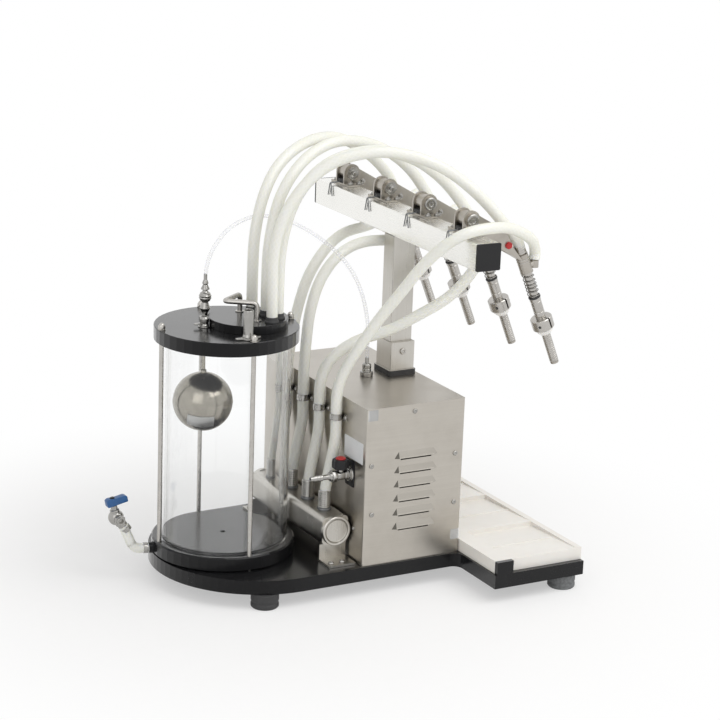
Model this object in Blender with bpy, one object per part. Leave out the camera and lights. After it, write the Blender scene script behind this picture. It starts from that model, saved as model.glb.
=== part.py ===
"""Four-spout vacuum filling machine, in metres, +Z up.

X runs along the nozzle beam and -Y is the side where the bottles stand. The pieces are drawn around the
jar's axis, and the whole is then moved so that the origin is on the table under the middle of the machine.
"""

import math

import bmesh
import bpy
from mathutils import Matrix, Vector

# The jar's axis, from the frame's origin under the middle of the machine
FRAME_SHIFT = 0.139

# Shared clearances
GAP = 0.0003                       # between two pieces that touch
CUT_OVERRUN = 0.002                # how far a cutter passes the face it opens
WELD = 0.000002

# Feet and base plate
FOOT_HEIGHT = 0.022
FOOT_RADIUS = 0.0195
REAR_FOOT_X = 0.128
REAR_FOOT_Y = -0.004
FRONT_FOOT_X = 0.228
FRONT_FOOT_Y = -0.422
PLATE_THICKNESS = 0.020
PLATE_HALF_WIDTH = 0.150
PLATE_ARC_Y = -0.050
CROSSBAR_REAR_Y = -0.297
CROSSBAR_FRONT_Y = -0.443
CROSSBAR_HALF_WIDTH = 0.250
CROSSBAR_FILLET = 0.013
LIP_WIDTH = 0.0067
LIP_SETBACK = 0.0027
PLATE_TOP = FOOT_HEIGHT + PLATE_THICKNESS

# Bottle tray with its four stepped pockets
TRAY_HALF_WIDTH = 0.243
TRAY_THICKNESS = 0.018
TRAY_REAR_MARGIN = 0.026
TRAY_FRONT_MARGIN = 0.009
POCKET_PITCH = 0.125
POCKET_DEPTH = 0.0065
POCKET_LAND = 0.003
TRAY_TOP = PLATE_TOP + GAP + TRAY_THICKNESS

# Overflow jar
JAR_DISC_RADIUS = 0.100
JAR_BASE_HEIGHT = 0.0207
JAR_CHAMFER = 0.002
JAR_SIDES = 48
GLASS_RADIUS = 0.090
GLASS_WALL = 0.0047
SPIGOT_CLEARANCE = 0.0004
SPIGOT_HEIGHT = 0.003
GLASS_HEIGHT = 0.2844
LID_THICKNESS = 0.019
DRAIN_HOLE_RADIUS = 0.0045
DRAIN_BORE_DEPTH = 0.013
DRAIN_ANGLE = math.radians(79)
ROD_RADIUS = 0.00325
ROD_CIRCLE = 0.095
ROD_TURN = math.radians(-3)
ROD_CLEARANCE = 0.0003
NUT_RADIUS = 0.0055
NUT_HEIGHT = 0.010
NUT_BODY_SHARE = 0.55
NUT_CROWN_SHARE = 0.88
NUT_CROWN_RADIUS_SHARE = 0.72
JAR_BASE_LOW = PLATE_TOP + GAP
JAR_BASE_TOP = JAR_BASE_LOW + JAR_BASE_HEIGHT
GLASS_LOW = JAR_BASE_TOP + GAP
GLASS_TOP = GLASS_LOW + GLASS_HEIGHT
LID_LOW = GLASS_TOP + GAP
LID_TOP = LID_LOW + LID_THICKNESS
SPIGOT_RADIUS = GLASS_RADIUS - GLASS_WALL - SPIGOT_CLEARANCE

# Hatch in the lid, with its handle and four hose collars
HATCH_X = -0.013
HATCH_Y = -0.026
HATCH_RADIUS = 0.055
HATCH_THICKNESS = 0.0117
HATCH_SPIGOT_RADIUS = 0.0487
HATCH_SPIGOT_DEPTH = 0.016
HATCH_CLEARANCE = 0.0003
HATCH_LOW = LID_TOP + GAP
HATCH_TOP = HATCH_LOW + HATCH_THICKNESS
RETURN_PORTS = ((0.009, -0.042), (-0.017, -0.051), (-0.037, -0.059), (-0.053, -0.042))
COLLAR_RADIUS = 0.0065
COLLAR_HEIGHT = 0.006
COLLAR_BORE = 0.003
HANDLE_ROD = 0.0035
HANDLE_HALF_SPAN = 0.0268
HANDLE_HEIGHT = 0.0245
HANDLE_REACH = 0.036
HANDLE_BEND = 0.008
HANDLE_TIP_HALF = 0.004
HANDLE_TIP_SHARE = 1.3
HANDLE_MIDDLE_SHARE = 0.5
# Inward, outward and downward shares of the bend at its two middle points
HANDLE_BEND_SHARES = ((0.15, 0.25, 0.3), (0.6, 1.0, 0.0))

# Fittings on the lid
FLOAT_X = -0.002
FLOAT_Y = 0.035
BALL_RADIUS = 0.041
BALL_Z = 0.262
FLOAT_STEM_RADIUS = 0.0025
GUIDE_RADIUS = 0.0056
GUIDE_CLEARANCE = 0.0003
GUIDE_DEPTH = 0.014
GUIDE_HEAD_RADIUS = 0.0065
FLOAT_HEAD_RADIUS = 0.0036
FLOAT_HEAD_HEIGHT = 0.004
GUIDE_HEAD_HEIGHT = 0.0145
FLOAT_STEM_SETBACK = 0.004
FLOAT_TRAVEL = 0.015
WING_LENGTH = 0.011
WING_HALF_WIDTH = 0.0045
WING_THICKNESS = 0.0015
WING_LEVEL = 0.004
WING_ROOT_SHARE = 0.7
SUCTION_X = 0.037
SUCTION_Y = 0.016
SUCTION_SHANK_RADIUS = 0.005
SUCTION_FLANGE_RADIUS = 0.0075
SUCTION_FLANGE = 0.003
SUCTION_NECK_RADIUS = 0.0042
SUCTION_NECK = 0.007
SUCTION_CONE_RADIUS = 0.0075
SUCTION_CONE = 0.006
SUCTION_GLOBE_RADIUS = 0.009
SUCTION_GLOBE_Z = 0.031
SUCTION_TOP = 0.063
SUCTION_STEM_RADIUS = 0.0025
SUCTION_BORE = 0.0012
SUCTION_THROAT_SHARE = 0.5
SUCTION_LIP_SHARE = 0.85
SUCTION_LIP_HEIGHT_SHARE = 0.2
VENT_X = -0.081
VENT_Y = 0.007
VENT_RADIUS = 0.007
VENT_WALL = 0.0012
VENT_SHANK_RADIUS = 0.0034
VENT_SHANK_BORE = 0.0020
VENT_HEIGHT = 0.0407
VENT_FLANGE_RADIUS = 0.0080
VENT_FLANGE = 0.007
VENT_WING_WIDTH = 0.0048
VENT_WING_REACH = 0.019
VENT_WING = 0.004

# Pump housing
HOUSING_HALF_LENGTH = 0.1474
HOUSING_REAR_Y = -0.1433
HOUSING_FRONT_Y = -0.2986
HOUSING_HEIGHT = 0.227
HOUSING_WALL = 0.0015
HOUSING_CORNER = 0.003
HOUSING_LOW = PLATE_TOP + GAP
HOUSING_TOP = HOUSING_LOW + HOUSING_HEIGHT
LOUVRE_COUNT = 6
LOUVRE_PITCH = 0.0206
LOUVRE_LOW = 0.091
LOUVRE_LENGTH = 0.055
LOUVRE_Y = -0.2225
LOUVRE_HOOD_HEIGHT = 0.009
LOUVRE_HOOD_DEPTH = 0.0028
LOUVRE_SLOT_HEIGHT = 0.003
LOUVRE_LIP = 0.0006

# Vacuum pump inside the housing
PUMP_X = -0.005
PUMP_Y = -0.222
PUMP_PLATE_LENGTH = 0.190
PUMP_PLATE_WIDTH = 0.100
PUMP_PLATE_THICKNESS = 0.004
MOTOR_RADIUS = 0.040
MOTOR_LENGTH = 0.115
MOTOR_AXIS_HEIGHT = 0.062
MOTOR_SADDLE_WIDTH = 0.056
PUMP_HEAD_RADIUS = 0.031
PUMP_HEAD_LENGTH = 0.045
PUMP_PORT_RADIUS = 0.006
PUMP_PORT_HEIGHT = 0.016

# Vacuum valve on the housing's rear face
VALVE_X = -0.106
VALVE_Z = 0.1655
VALVE_FLANGE_RADIUS = 0.0105
VALVE_FLANGE = 0.005
VALVE_BODY_RADIUS = 0.007
VALVE_BODY_LENGTH = 0.030
VALVE_TAIL_RADIUS = 0.0042
VALVE_TAIL_LENGTH = 0.058
VALVE_BARB_SHARE = 0.85
VALVE_NOSE_SHARE = 0.75
VALVE_SHANK_RADIUS = 0.0047
VALVE_SHANK_LENGTH = 0.010
VALVE_BORE = 0.002
VALVE_STEM_SETBACK = 0.0163
VALVE_STEM_RADIUS = 0.0045
VALVE_STEM_HEIGHT = 0.0095
KNOB_RADIUS = 0.012
KNOB_HEIGHT = 0.014
KNOB_CAP_RADIUS = 0.0075
KNOB_CAP_HEIGHT = 0.002
KNOB_CHAMFER = 0.0015

# Vacuum line fitting on top of the housing
ELBOW_X = 0.0
ELBOW_Y = -0.222
ELBOW_FLANGE_RADIUS = 0.0095
ELBOW_FLANGE = 0.006
ELBOW_BODY_RADIUS = 0.0065
ELBOW_HEIGHT = 0.0265
ELBOW_STEM_RADIUS = 0.0028
ELBOW_STEM = 0.009
ELBOW_SHANK_RADIUS = 0.004
ELBOW_SHANK = 0.008
ELBOW_BORE = 0.0012
TUBE_RADIUS = 0.0027

# Manifold and its brackets
MANIFOLD_NEAR_X = -0.115
MANIFOLD_FAR_X = 0.115
MANIFOLD_Y = -0.120
MANIFOLD_Z = 0.087
MANIFOLD_SIDE = 0.040
MANIFOLD_CORNER = 0.008
MANIFOLD_RING_RADIUS = 0.0215
MANIFOLD_RING_LENGTH = 0.008
MANIFOLD_CAP_RADIUS = 0.0165
MANIFOLD_CAP_RECESS = 0.002
MANIFOLD_BORE = 0.014
MANIFOLD_END = 0.014
MANIFOLD_PITCH = 0.050
MANIFOLD_FIRST_X = 0.075
MANIFOLD_PORT_BORE = 0.0035
BRACKET_THICKNESS = 0.003
BRACKET_FOOT_LENGTH = 0.034
BRACKET_FOOT_REAR_Y = -0.099
BRACKET_FOOT_FRONT_Y = -0.140
BRACKET_SETBACK = 0.011

# Column, socket and beam
COLUMN_X = 0.005
COLUMN_Y = -0.271
COLUMN_WIDTH = 0.0290
COLUMN_DEPTH = 0.0345
COLUMN_WALL = 0.002
SOCKET_WIDTH = 0.042
SOCKET_DEPTH = 0.0385
SOCKET_CLEARANCE = 0.0003
SOCKET_FOOT_MARGIN = 0.002
SOCKET_FOOT = 0.0074
SOCKET_HEIGHT = 0.041
BEAM_HALF_LENGTH = 0.231
BEAM_SIDE = 0.037
BEAM_Y = -0.2712
BEAM_Z = 0.490
BEAM_WALL = 0.002
BEAM_CORNER = 0.002
CAP_THICKNESS = 0.003
CAP_PLUG = 0.012
CAP_CLEARANCE = 0.0003
BEAM_TOP = BEAM_Z + BEAM_SIDE / 2

# Four filling stations along the beam
STATION_COUNT = 4
STATION_PITCH = 0.1125
STATION_FIRST_X = 0.1805
PIVOT_Y = -0.280
PIVOT_Z = 0.527
CLEVIS_PLATE = 0.0025
CLEVIS_PLATE_HALF = 0.027
CLEVIS_DEPTH = 0.026
CLEVIS_EAR = 0.003
CLEVIS_INSIDE_HALF = 0.0095
PIVOT_RADIUS = 0.004
PIVOT_CLEARANCE = 0.0003
PIVOT_HEAD_RADIUS = 0.00975
PIVOT_HEAD = 0.0035
LEVER_SIDE_CLEARANCE = 0.0003
LEVER_WALL = 0.002
LEVER_WEB = 0.003
LEVER_HUB_RADIUS = 0.0105
LEVER_SLOPE = math.radians(29)
LEVER_STRAIGHT = 0.0605
LEVER_DEPTH = 0.025
LEVER_HEEL = 0.0133
LEVER_STOP = 0.0085
LEVER_TOE_Y = 0.070
LEVER_TOE_Z = 0.043
LEVER_TIP_SHARE = 0.6
LEVER_SLOT_SHARE = 1.5
CHAMBER_SHARE = 1.5

# Nozzle, measured down its own tilted axis from the top of the head
HEAD_Y = -0.372
HEAD_Z = 0.466
NOZZLE_TILT = math.radians(22.3)
HEAD_RISE = 0.008
SLEEVE_RADIUS = 0.009
SLEEVE_LENGTH = 0.025
SLEEVE_BORE = 0.0065
SLEEVE_ROOF = 0.002
SLIDE_CLEARANCE = 0.0003
STEM_ENGAGEMENT = 0.004
SHOULDER_DEPTH = 0.0647
SHOULDER_RADIUS = 0.0080
LOWER_SLEEVE_RADIUS = 0.0074
LOWER_SLEEVE_LENGTH = 0.028
WAIST_RADIUS = 0.0068
COLLAR_DEPTH = 0.0965
CLAMP_RADIUS = 0.0155
CLAMP_LENGTH = 0.0165
CONE_LENGTH = 0.009
CONE_TOP_RADIUS = 0.0130
CONE_LOW_RADIUS = 0.0080
TIP_RADIUS = 0.0063
TIP_WALL = 0.0009
INNER_TUBE_RADIUS = 0.0034
INNER_TUBE_BORE = 0.0020
VALVE_PLUG_RADIUS = 0.0060
VALVE_PLUG = 0.003
NOZZLE_LENGTH = 0.170
NOZZLE_TRAVEL = 0.018
SPRING_WIRE = 0.0006
SPRING_RADIUS = 0.0076
SPRING_TURNS = 7
SPRING_STEPS = 8
PORT_REACH = 0.0205
PORT_ROOT = 0.0099
PORT_DROP = 0.0108
PORT_STUB_RADIUS = 0.005
PORT_COLLAR_RADIUS = 0.0062
PORT_COLLAR_HEIGHT = 0.0105
PORT_BORE = 0.0025

# Hoses
HOSE_RADIUS = 0.00775
CLIP_Y = -0.1342
CLIP_Z = 0.241
CLIP_RISE = 0.034
CLIP_LEAD_SHARE = 0.4
PORT_LEAD_SHARE = 1.5
HOSE_STEP = 0.036
TUBE_STEP = 0.017

# Drain hose with its valve
DRAIN_COLLAR_RADIUS = 0.008
DRAIN_COLLAR_LENGTH = 0.006
DRAIN_HOSE_RADIUS = 0.0068
DRAIN_RUN = 0.046
DRAIN_CLIMB = 0.048
DRAIN_SLOPE = math.radians(52)
DRAIN_BALL_RADIUS = 0.011
DRAIN_SOCKET_RADIUS = 0.0075
DRAIN_SOCKET_LENGTH = 0.016
DRAIN_OUTLET_RADIUS = 0.006
DRAIN_OUTLET_BORE = 0.0035
DRAIN_OUTLET_LENGTH = 0.019
DRAIN_STEM_RADIUS = 0.0047
DRAIN_STEM_HEIGHT = 0.0185
DRAIN_STEM_LEAN = math.radians(12)
DRAIN_GRIP_REAR = 0.010
DRAIN_GRIP_REACH = 0.021
DRAIN_GRIP_HEIGHT = 0.012
DRAIN_GRIP_WIDTH = 0.010
DRAIN_GRIP_TAPER = 0.0025
DRAIN_LEAD_SHARE = 0.8

PAINTS = {
    "black_plastic": ((0.012, 0.012, 0.013), 0.42, 0.0),
    "rubber": ((0.02, 0.02, 0.02), 0.75, 0.0),
    "white_plastic": ((0.83, 0.80, 0.72), 0.45, 0.0),
    "clear": ((0.80, 0.84, 0.82), 0.08, 0.0),
    "steel": ((0.60, 0.57, 0.53), 0.33, 1.0),
    "nickel": ((0.66, 0.64, 0.60), 0.22, 1.0),
    "hose": ((0.80, 0.79, 0.70), 0.40, 0.0),
    "blue_plastic": ((0.02, 0.10, 0.45), 0.40, 0.0),
    "cast": ((0.22, 0.23, 0.24), 0.55, 0.6),
}


def clear_scene():
    for thing in list(bpy.data.objects):
        bpy.data.objects.remove(thing, do_unlink=True)


def paint(name):
    if name not in bpy.data.materials:
        colour, rough, metal = PAINTS[name]
        made = bpy.data.materials.new(name)
        made.use_nodes = True
        shader = made.node_tree.nodes["Principled BSDF"]
        shader.inputs["Base Color"].default_value = (*colour, 1.0)
        shader.inputs["Roughness"].default_value = rough
        shader.inputs["Metallic"].default_value = metal
    return bpy.data.materials[name]


def place(name, data, paint_name=None, at=(0, 0, 0), parent=None):
    made = bpy.data.objects.new(name, data)
    made.location = at
    made.parent = parent
    bpy.context.scene.collection.objects.link(made)
    if paint_name:
        data.materials.clear()
        data.materials.append(paint(paint_name))
    return made


def finished(bm, name):
    bmesh.ops.recalc_face_normals(bm, faces=bm.faces)
    data = bpy.data.meshes.new(name)
    bm.to_mesh(data)
    bm.free()
    smooth(data)
    return data


def smooth(data):
    data.shade_smooth()
    data.set_sharp_from_angle(angle=math.radians(35))


def prism(outline, low, high, axis="Z"):
    """Extrude a flat outline from low to high. The outline's two values are the axes left over, in order."""
    order = {"X": (2, 0, 1), "Y": (0, 2, 1), "Z": (0, 1, 2)}[axis]
    bm = bmesh.new()
    corners = []
    for u, v in outline:
        flat = (u, v, low)
        corners.append(bm.verts.new([flat[k] for k in order]))
    face = bm.faces.new(corners)
    pulled = bmesh.ops.extrude_face_region(bm, geom=[face])["geom"]
    step = [0, 0, 0]
    step["XYZ".index(axis)] = high - low
    bmesh.ops.translate(bm, vec=step, verts=[g for g in pulled if isinstance(g, bmesh.types.BMVert)])
    return finished(bm, "prism")


def box(low, high):
    outline = ((low[0], low[1]), (high[0], low[1]), (high[0], high[1]), (low[0], high[1]))
    return prism(outline, low[2], high[2])


def turned(profile, sides):
    """Spin a profile of (radius, height) about Z. A profile that stays off the axis is closed on itself."""
    bm = bmesh.new()
    row = [bm.verts.new((r, 0, z)) for r, z in profile]
    pairs = list(zip(row, row[1:]))
    if profile[0][0] > 0 and profile[-1][0] > 0:
        pairs.append((row[-1], row[0]))
    edges = [bm.edges.new(pair) for pair in pairs]
    bmesh.ops.spin(bm, geom=row + edges, cent=(0, 0, 0), axis=(0, 0, 1), angle=math.tau, steps=sides)
    bmesh.ops.remove_doubles(bm, verts=bm.verts, dist=WELD)
    return finished(bm, "turned")


def rod(radius, low, high, sides=24):
    return turned(((0, low), (radius, low), (radius, high), (0, high)), sides)


def moved(data, matrix):
    data.transform(matrix)
    return data


def toward(direction, at=(0, 0, 0)):
    """Matrix that turns +Z to a direction and carries the origin to a point."""
    turn = Vector((0, 0, 1)).rotation_difference(Vector(direction)).to_matrix().to_4x4()
    return Matrix.Translation(Vector(at)) @ turn


def merged(base, joined=(), cut=()):
    """One mesh from a base, after uniting and cutting the other meshes."""
    main = place("shape", base)
    tools = []
    for operation, group in (("UNION", joined), ("DIFFERENCE", cut)):
        for data in group:
            tool = place("tool", data)
            tool.hide_render = True
            tool.display_type = "WIRE"
            tools.append(tool)
            step = main.modifiers.new(operation, "BOOLEAN")
            step.operation = operation
            step.solver = "EXACT"
            step.object = tool
    bpy.context.view_layer.update()
    result = bpy.data.meshes.new_from_object(main.evaluated_get(bpy.context.evaluated_depsgraph_get()))
    for thing in (main, *tools):
        bpy.data.objects.remove(thing, do_unlink=True)
    result.materials.clear()
    bm = bmesh.new()
    bm.from_mesh(result)
    bmesh.ops.remove_doubles(bm, verts=bm.verts, dist=WELD)
    bmesh.ops.dissolve_degenerate(bm, edges=bm.edges, dist=WELD)
    bm.to_mesh(result)
    bm.free()
    smooth(result)
    return result


def rounded_rectangle(half_u, half_v, radius, steps=3, centre=(0, 0)):
    outline = []
    for k, (su, sv) in enumerate(((1, 1), (-1, 1), (-1, -1), (1, -1))):
        for s in range(steps + 1):
            angle = math.radians(90) * (k + s / steps)
            outline.append(
                (
                    centre[0] + su * (half_u - radius) + radius * math.cos(angle),
                    centre[1] + sv * (half_v - radius) + radius * math.sin(angle),
                )
            )
    return outline


def arc(centre, radius, start, stop, steps):
    return [
        (
            centre[0] + radius * math.cos(start + (stop - start) * s / steps),
            centre[1] + radius * math.sin(start + (stop - start) * s / steps),
        )
        for s in range(steps + 1)
    ]


def smooth_route(points, step):
    """Points read at even steps from a smooth curve through the route's own points."""
    knots = [Vector(p) for p in points]
    knots = [knots[0] * 2 - knots[1], *knots, knots[-1] * 2 - knots[-2]]
    fine = [knots[1]]
    for a, b, c, d in zip(knots, knots[1:], knots[2:], knots[3:]):
        for s in range(1, 21):
            t = s / 20
            pull = a * 2 - b * 5 + c * 4 - d
            twist = b * 3 - a - c * 3 + d
            fine.append((b * 2 + (c - a) * t + pull * t**2 + twist * t**3) / 2)
    along = [0.0]
    for p, q in zip(fine, fine[1:]):
        along.append(along[-1] + (q - p).length)
    count = max(4, round(along[-1] / step))
    even = []
    k = 0
    for n in range(count + 1):
        want = along[-1] * n / count
        while k < len(fine) - 2 and along[k + 1] < want:
            k += 1
        share = (want - along[k]) / max(along[k + 1] - along[k], WELD)
        even.append(fine[k].lerp(fine[k + 1], min(share, 1)))
    return even


def tube(name, points, radius, paint_name, bevel_resolution=2, parent=None):
    data = bpy.data.curves.new(name, "CURVE")
    data.dimensions = "3D"
    data.bevel_depth = radius
    data.bevel_resolution = bevel_resolution
    data.render_resolution_u = 0
    data.use_fill_caps = True
    line = data.splines.new("POLY")
    line.points.add(len(points) - 1)
    for spot, point in zip(line.points, points):
        spot.co = (*point, 1)
    return place(name, data, paint_name, parent=parent)


def length_of(points):
    return sum((q - p).length for p, q in zip(points, points[1:]))


def make_base():
    arc_points = arc((0, PLATE_ARC_Y), PLATE_HALF_WIDTH, 0, math.pi, 40)
    inner = PLATE_HALF_WIDTH + CROSSBAR_FILLET
    left = arc((-inner, CROSSBAR_REAR_Y + CROSSBAR_FILLET), CROSSBAR_FILLET, 0, -math.pi / 2, 5)
    right = arc((inner, CROSSBAR_REAR_Y + CROSSBAR_FILLET), CROSSBAR_FILLET, -math.pi / 2, -math.pi, 5)
    outline = [
        *arc_points,
        *left,
        (-CROSSBAR_HALF_WIDTH, CROSSBAR_REAR_Y),
        (-CROSSBAR_HALF_WIDTH, CROSSBAR_FRONT_Y),
        (CROSSBAR_HALF_WIDTH, CROSSBAR_FRONT_Y),
        (CROSSBAR_HALF_WIDTH, CROSSBAR_REAR_Y),
        *right,
    ]
    lips = []
    for side in (-1, 1):
        outer = side * CROSSBAR_HALF_WIDTH
        inner = side * (CROSSBAR_HALF_WIDTH - LIP_WIDTH)
        rear = CROSSBAR_REAR_Y - LIP_SETBACK
        lips.append(
            box(
                (min(outer, inner), rear - TRAY_REAR_MARGIN, PLATE_TOP - CUT_OVERRUN),
                (max(outer, inner), rear, TRAY_TOP),
            )
        )
    place("base_plate", merged(prism(outline, FOOT_HEIGHT, PLATE_TOP), lips), "black_plastic")
    foot = turned(
        (
            (0, 0),
            (FOOT_RADIUS - JAR_CHAMFER, 0),
            (FOOT_RADIUS, JAR_CHAMFER),
            (FOOT_RADIUS, FOOT_HEIGHT - GAP),
            (0, FOOT_HEIGHT - GAP),
        ),
        20,
    )
    spots = (
        (-REAR_FOOT_X, REAR_FOOT_Y),
        (REAR_FOOT_X, REAR_FOOT_Y),
        (-FRONT_FOOT_X, FRONT_FOOT_Y),
        (FRONT_FOOT_X, FRONT_FOOT_Y),
    )
    for k, (x, y) in enumerate(spots):
        place(f"foot_{k + 1}", foot, "rubber", (x, y, 0))


def make_tray():
    rear = CROSSBAR_REAR_Y - LIP_SETBACK
    low = PLATE_TOP + GAP
    body = box((-TRAY_HALF_WIDTH + GAP, CROSSBAR_FRONT_Y, low), (TRAY_HALF_WIDTH - GAP, rear, TRAY_TOP))
    pockets = []
    for k in range(4):
        start = (k - 2) * POCKET_PITCH + POCKET_LAND
        stop = (k - 1) * POCKET_PITCH
        if k == 3:
            stop += CUT_OVERRUN
        pockets.append(
            prism(
                (
                    (start, TRAY_TOP + CUT_OVERRUN),
                    (start, TRAY_TOP - GAP),
                    (stop, TRAY_TOP - POCKET_DEPTH),
                    (stop, TRAY_TOP + CUT_OVERRUN),
                ),
                CROSSBAR_FRONT_Y + TRAY_FRONT_MARGIN,
                rear - TRAY_REAR_MARGIN,
                "Y",
            )
        )
    place("bottle_tray", merged(body, cut=pockets), "white_plastic")


def rod_spots():
    return [
        (ROD_CIRCLE * math.cos(ROD_TURN + k * math.pi / 2), ROD_CIRCLE * math.sin(ROD_TURN + k * math.pi / 2))
        for k in range(4)
    ]


def make_jar():
    spots = rod_spots()
    hole = ROD_RADIUS + ROD_CLEARANCE
    base = turned(
        (
            (0, JAR_BASE_LOW),
            (JAR_DISC_RADIUS - JAR_CHAMFER, JAR_BASE_LOW),
            (JAR_DISC_RADIUS, JAR_BASE_LOW + JAR_CHAMFER),
            (JAR_DISC_RADIUS, JAR_BASE_TOP - JAR_CHAMFER),
            (JAR_DISC_RADIUS - JAR_CHAMFER, JAR_BASE_TOP),
            (SPIGOT_RADIUS, JAR_BASE_TOP),
            (SPIGOT_RADIUS, JAR_BASE_TOP + SPIGOT_HEIGHT),
            (0, JAR_BASE_TOP + SPIGOT_HEIGHT),
        ),
        JAR_SIDES,
    )
    out = Vector((math.cos(DRAIN_ANGLE), math.sin(DRAIN_ANGLE), 0))
    level = JAR_BASE_TOP - DRAIN_BORE_DEPTH
    collar = moved(
        rod(DRAIN_COLLAR_RADIUS, -DRAIN_COLLAR_LENGTH, DRAIN_COLLAR_LENGTH, 20),
        toward(out, out * JAR_DISC_RADIUS + Vector((0, 0, level))),
    )
    cuts = [rod(DRAIN_HOLE_RADIUS, level, JAR_BASE_TOP + SPIGOT_HEIGHT + CUT_OVERRUN, 16)]
    cuts.append(
        moved(
            rod(DRAIN_HOLE_RADIUS - GAP, 0, JAR_DISC_RADIUS + DRAIN_COLLAR_LENGTH + CUT_OVERRUN, 16),
            toward(out, (0, 0, level)),
        )
    )
    for x, y in spots:
        cuts.append(
            moved(
                rod(hole, JAR_BASE_LOW - CUT_OVERRUN, JAR_BASE_TOP + CUT_OVERRUN, 12),
                Matrix.Translation((x, y, 0)),
            )
        )
    place("jar_base", merged(base, [collar], cuts), "black_plastic")

    inner = GLASS_RADIUS - GLASS_WALL
    wall = ((inner, GLASS_LOW), (GLASS_RADIUS, GLASS_LOW), (GLASS_RADIUS, GLASS_TOP), (inner, GLASS_TOP))
    glass = turned(wall, JAR_SIDES)
    place("jar_glass", glass, "clear")

    lid = turned(
        (
            (0, LID_LOW - SPIGOT_HEIGHT),
            (SPIGOT_RADIUS, LID_LOW - SPIGOT_HEIGHT),
            (SPIGOT_RADIUS, LID_LOW),
            (JAR_DISC_RADIUS, LID_LOW),
            (JAR_DISC_RADIUS, LID_TOP - JAR_CHAMFER / 2),
            (JAR_DISC_RADIUS - JAR_CHAMFER / 2, LID_TOP),
            (0, LID_TOP),
        ),
        JAR_SIDES,
    )
    openings = [(HATCH_X, HATCH_Y, HATCH_SPIGOT_RADIUS + HATCH_CLEARANCE, 40)]
    openings += [(x, y, hole, 12) for x, y in spots]
    openings += [
        (FLOAT_X, FLOAT_Y, GUIDE_RADIUS + GAP, 16),
        (SUCTION_X, SUCTION_Y, SUCTION_SHANK_RADIUS + GAP, 16),
        (VENT_X, VENT_Y, VENT_SHANK_RADIUS + GAP, 12),
    ]
    cuts = [
        moved(
            rod(radius, LID_LOW - SPIGOT_HEIGHT - CUT_OVERRUN, LID_TOP + CUT_OVERRUN, sides),
            Matrix.Translation((x, y, 0)),
        )
        for x, y, radius, sides in openings
    ]
    place("jar_lid", merged(lid, cut=cuts), "black_plastic")

    nut_low = LID_TOP + GAP
    for k, (x, y) in enumerate(spots):
        bolt = turned(
            (
                (0, JAR_BASE_LOW),
                (ROD_RADIUS, JAR_BASE_LOW),
                (ROD_RADIUS, nut_low),
                (NUT_RADIUS, nut_low),
                (NUT_RADIUS, nut_low + NUT_HEIGHT * NUT_BODY_SHARE),
                (NUT_RADIUS * NUT_CROWN_RADIUS_SHARE, nut_low + NUT_HEIGHT * NUT_CROWN_SHARE),
                (0, nut_low + NUT_HEIGHT),
            ),
            12,
        )
        place(f"tie_rod_{k + 1}", bolt, "nickel", (x, y, 0))


def make_hatch():
    disc = turned(
        (
            (0, HATCH_LOW - HATCH_SPIGOT_DEPTH),
            (HATCH_SPIGOT_RADIUS, HATCH_LOW - HATCH_SPIGOT_DEPTH),
            (HATCH_SPIGOT_RADIUS, HATCH_LOW),
            (HATCH_RADIUS, HATCH_LOW),
            (HATCH_RADIUS, HATCH_TOP - JAR_CHAMFER / 4),
            (HATCH_RADIUS - JAR_CHAMFER / 4, HATCH_TOP),
            (0, HATCH_TOP),
        ),
        40,
    )
    disc = moved(disc, Matrix.Translation((HATCH_X, HATCH_Y, 0)))
    collars = []
    bores = []
    for x, y in RETURN_PORTS:
        spot = Matrix.Translation((x, y, 0))
        collar = rod(COLLAR_RADIUS, HATCH_TOP - CUT_OVERRUN, HATCH_TOP + COLLAR_HEIGHT, 16)
        collars.append(moved(collar, spot))
        low = HATCH_LOW - HATCH_SPIGOT_DEPTH - CUT_OVERRUN
        bores.append(moved(rod(COLLAR_BORE, low, HATCH_TOP + COLLAR_HEIGHT + CUT_OVERRUN, 10), spot))
    place("hatch_lid", merged(disc, collars, bores), "black_plastic")

    low = HATCH_TOP + GAP
    top = low + HANDLE_HEIGHT
    half = HANDLE_HALF_SPAN
    points = [
        (-half, 0, low),
        (-half, 0, low + (top - low) / 2),
        (-half, 0, top - HANDLE_BEND),
    ]
    for inward, outward, down in HANDLE_BEND_SHARES:
        points.append((-half + HANDLE_BEND * inward, HANDLE_BEND * outward, top - HANDLE_BEND * down))
    points += [
        (-half * HANDLE_MIDDLE_SHARE, HANDLE_REACH * HANDLE_MIDDLE_SHARE, top),
        (-HANDLE_TIP_HALF * HANDLE_TIP_SHARE, HANDLE_REACH - HANDLE_TIP_HALF, top),
        (0, HANDLE_REACH, top),
    ]
    points += [(-x, y, z) for x, y, z in reversed(points[:-1])]
    handle = tube("hatch_handle", [Vector(p) for p in points], HANDLE_ROD, "steel", 3)
    handle.location = (HATCH_X, HATCH_Y, 0)


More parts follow.
